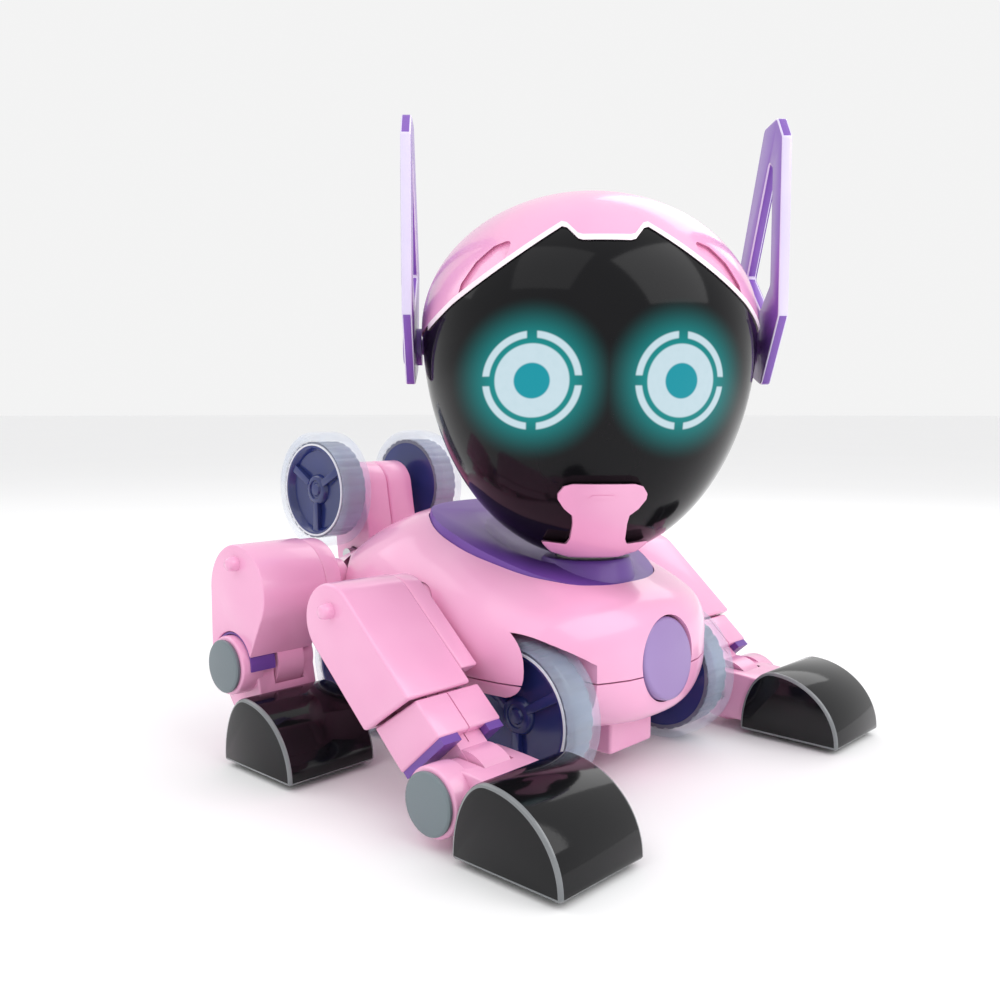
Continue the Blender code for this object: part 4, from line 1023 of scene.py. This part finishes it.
def makeLegs():
    look = legLook
    near = look["bossRadius"] - 0.8
    for side, word in ((1, "left"), (-1, "right")):
        name, node = f"front{word.capitalize()}", f"front_{word}"
        radius, knee = look["thigh"], look["thighLength"]
        inner = radius - look["wall"]
        outline = legArc(radius, 28) + [alongLeg(knee, radius), alongLeg(knee - 6, -radius)]
        pocket = legArc(inner, 24) + [alongLeg(knee + 8, inner), alongLeg(knee + 8, -inner)]
        makeCover(name, side, outline, 1.2, [pocket], node)
        plate = legArc(radius - 0.6, 28) + [alongLeg(knee - 6, radius - 0.6),
                                            alongLeg(knee - 12, 0.6 - radius)]
        makePlate(name, side, look["frontHip"], plate, node)
        half = radius - 1.2
        end = look["shinLength"]
        lower = [alongLeg(knee + 0.5, half), alongLeg(end - 2.6, half),
                 alongLeg(end - 5.2, -half), alongLeg(knee - 5.5, -half)]
        band = [alongLeg(end - 2.8, half - 0.5), alongLeg(end, half - 0.5),
                alongLeg(end - 2.6, 0.5 - half), alongLeg(end - 5.4, 0.5 - half)]
        makeShin(name, side, "front", look["frontHip"], inner - 0.5, lower, band, frontAnkle,
                 node)
        makePeg(name, side, *alongLeg(-2, 3.5), node)
        toe = look["toes"]["front"]
        foot = (arc(frontAnkle, near, 250, 360, 16) + arc(frontAnkle, near, 10, 75, 10)
                + [(frontAnkle[0] - 9, frontAnkle[1] + 9.5), (toe + 14, frontAnkle[1] + 7),
                   (toe + 14, 4.4)])
        makeFoot(name, side, frontAnkle, foot, toe, node)

        name, node = f"rear{word.capitalize()}", f"rear_{word}"
        hip, ankle, radius = look["rearHip"], look["rearAnkle"], look["rearThigh"]
        outline = (arc(hip, radius, 215, -4, 36) + [(hip[0] + radius, ankle[1] - 3)]
                   + arc(ankle, look["bossRadius"] + 1.4, -12, 160, 24))
        shinEnd = (ankle[0] - 1, ankle[1] + look["bossRadius"] + 1)
        past = tuple(Vector(shinEnd) + (Vector(shinEnd) - Vector(hip)))
        makeCover(name, side, outline, 0.5,
                  [arc(hip, radius - look["wall"], 0, 352.5, 47), strap(hip, past, 10.3)], node)
        plate = arc(hip, radius - 0.6, 230, -30, 36) + [
            (ankle[0] + 9, ankle[1] + look["bossRadius"] + 1),
            (ankle[0] - 13, ankle[1] + look["bossRadius"] + 1)]
        makePlate(name, side, hip, plate, node)
        short = tuple(Vector(shinEnd) + (Vector(hip) - Vector(shinEnd)).normalized() * 2.2)
        makeShin(name, side, "rear", hip, radius - look["wall"] - 0.5, strap(hip, short, 9.8),
                 strap(short, shinEnd, 9.3), ankle, node)
        notch = turned(f"{name}NotchLiner", [(11.6, 85.0), (12.3, 85.0), (12.3, 95.4), (11.6, 95.4)],
                       alongX(side, 0, *ankle), 72, ring=True)
        carve(notch, box("belowNotch", (-120, -20, -20), (120, 120, ankle[1] - 1)))
        dress(notch, "purple", f"{node}_leg")
        makePeg(name, side, hip[0], hip[1] + 11, node)
        toe = look["toes"]["rear"]
        foot = ([(toe + look["shoeLength"] - 3, 4.4), (ankle[0] + 11.5, ankle[1] - 13)]
                + arc(ankle, near, -15, 195, 28)
                + [(ankle[0] - 13, ankle[1] - 16), (toe + 14, ankle[1] - 16), (toe + 14, 4.4)])
        makeFoot(name, side, ankle, foot, toe, node)


keptFinishes = {"battery_box_screw": "steel", "battery_pack": "steel", "circuit_board": "board",
                "speaker": "inside", "gearbox_front": "inside", "gearbox_rear": "inside",
                "tail_pivot_pin": "steel", "neck_post": "inside", "eye_light_board": "board",
                "power_switch": "shoeBlack", "axle_front": "steel", "axle_rear": "steel",
                "tail_axle": "steel"}


def dressKept():
    for node, finish in keptFinishes.items():
        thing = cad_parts[node]
        if not thing.material_slots:
            thing.data.materials.append(finishes[finish])
        for place in thing.material_slots:
            place.material = finishes[finish]


stages = (("head", makeHead), ("snout", makeSnout), ("ears", makeEars), ("trunk", makeTrunk),
          ("collar", makeCollar), ("button", makeButton), ("battery box", makeBatteryBox),
          ("wheels", makeWheels), ("tail", makeTailArm), ("legs", makeLegs),
          ("inner parts", dressKept))
for label, make in stages:
    make()
    print(label, "made")

studio = {
    "floor": (0.95, 0.95, 0.955, 1), "floorShade": (0.93, 0.93, 0.935, 1),
    "worldColour": (1.0, 1.0, 1.0, 1), "worldStrength": 0.90,
    "camera": (-0.297, -0.275, 0.132), "azimuth": -47.0, "down": 5.0, "lens": 36.0,
    "shift": (-0.006, 0.0),
    "lamps": (  # place, aimed at, width, watts
        ((0.15, -0.85, 0.85), (0, 0, 0.10), 0.9, 5.0),
        ((-0.75, -0.10, 1.05), (0, 0, 0.10), 0.8, 1.6),
        ((-0.45, 0.85, 0.90), (0, 0, 0.10), 0.7, 2.0),
        ((0.85, 0.15, 0.80), (0, 0, 0.10), 0.6, 1.6)),
}


def makeStudio(look):
    shape = bmesh.new()
    bmesh.ops.create_grid(shape, x_segments=1, y_segments=1, size=40.0)
    floor = fromShape("studioFloor", shape)
    graph = Graph("studioFloor")
    soft = graph.speckle(3.0, 2.0)
    graph.set(Base_Color=graph.blend(soft, look["floor"], look["floorShade"]))
    floor.data.materials.append(graph.set(Roughness=0.85))
    world = bpy.data.worlds.new("studio")
    world.use_nodes = True
    sky = world.node_tree.nodes["Background"]
    sky.inputs["Color"].default_value = look["worldColour"]
    sky.inputs["Strength"].default_value = look["worldStrength"]
    bpy.context.scene.world = world
    for index, (place, aim, width, watts) in enumerate(look["lamps"]):
        lamp = bpy.data.lights.new(f"softLamp{index}", "AREA")
        lamp.shape, lamp.size, lamp.energy = "SQUARE", width, watts
        holder = bpy.data.objects.new(f"softLamp{index}", lamp)
        holder.location = place
        holder.rotation_euler = (Vector(aim) - Vector(place)).to_track_quat("-Z", "Y").to_euler()
        bpy.context.scene.collection.objects.link(holder)
    lens = bpy.data.cameras.new("camera")
    lens.lens, lens.sensor_width, lens.clip_start = look["lens"], 36.0, 0.01
    lens.shift_x, lens.shift_y = look["shift"]
    camera = bpy.data.objects.new("camera", lens)
    camera.location = look["camera"]
    camera.rotation_euler = (math.radians(90 - look["down"]), 0, math.radians(look["azimuth"]))
    bpy.context.scene.collection.objects.link(camera)
    bpy.context.scene.camera = camera
    bpy.context.scene.view_settings.view_transform = "Standard"


makeStudio(studio)
print("studio made")
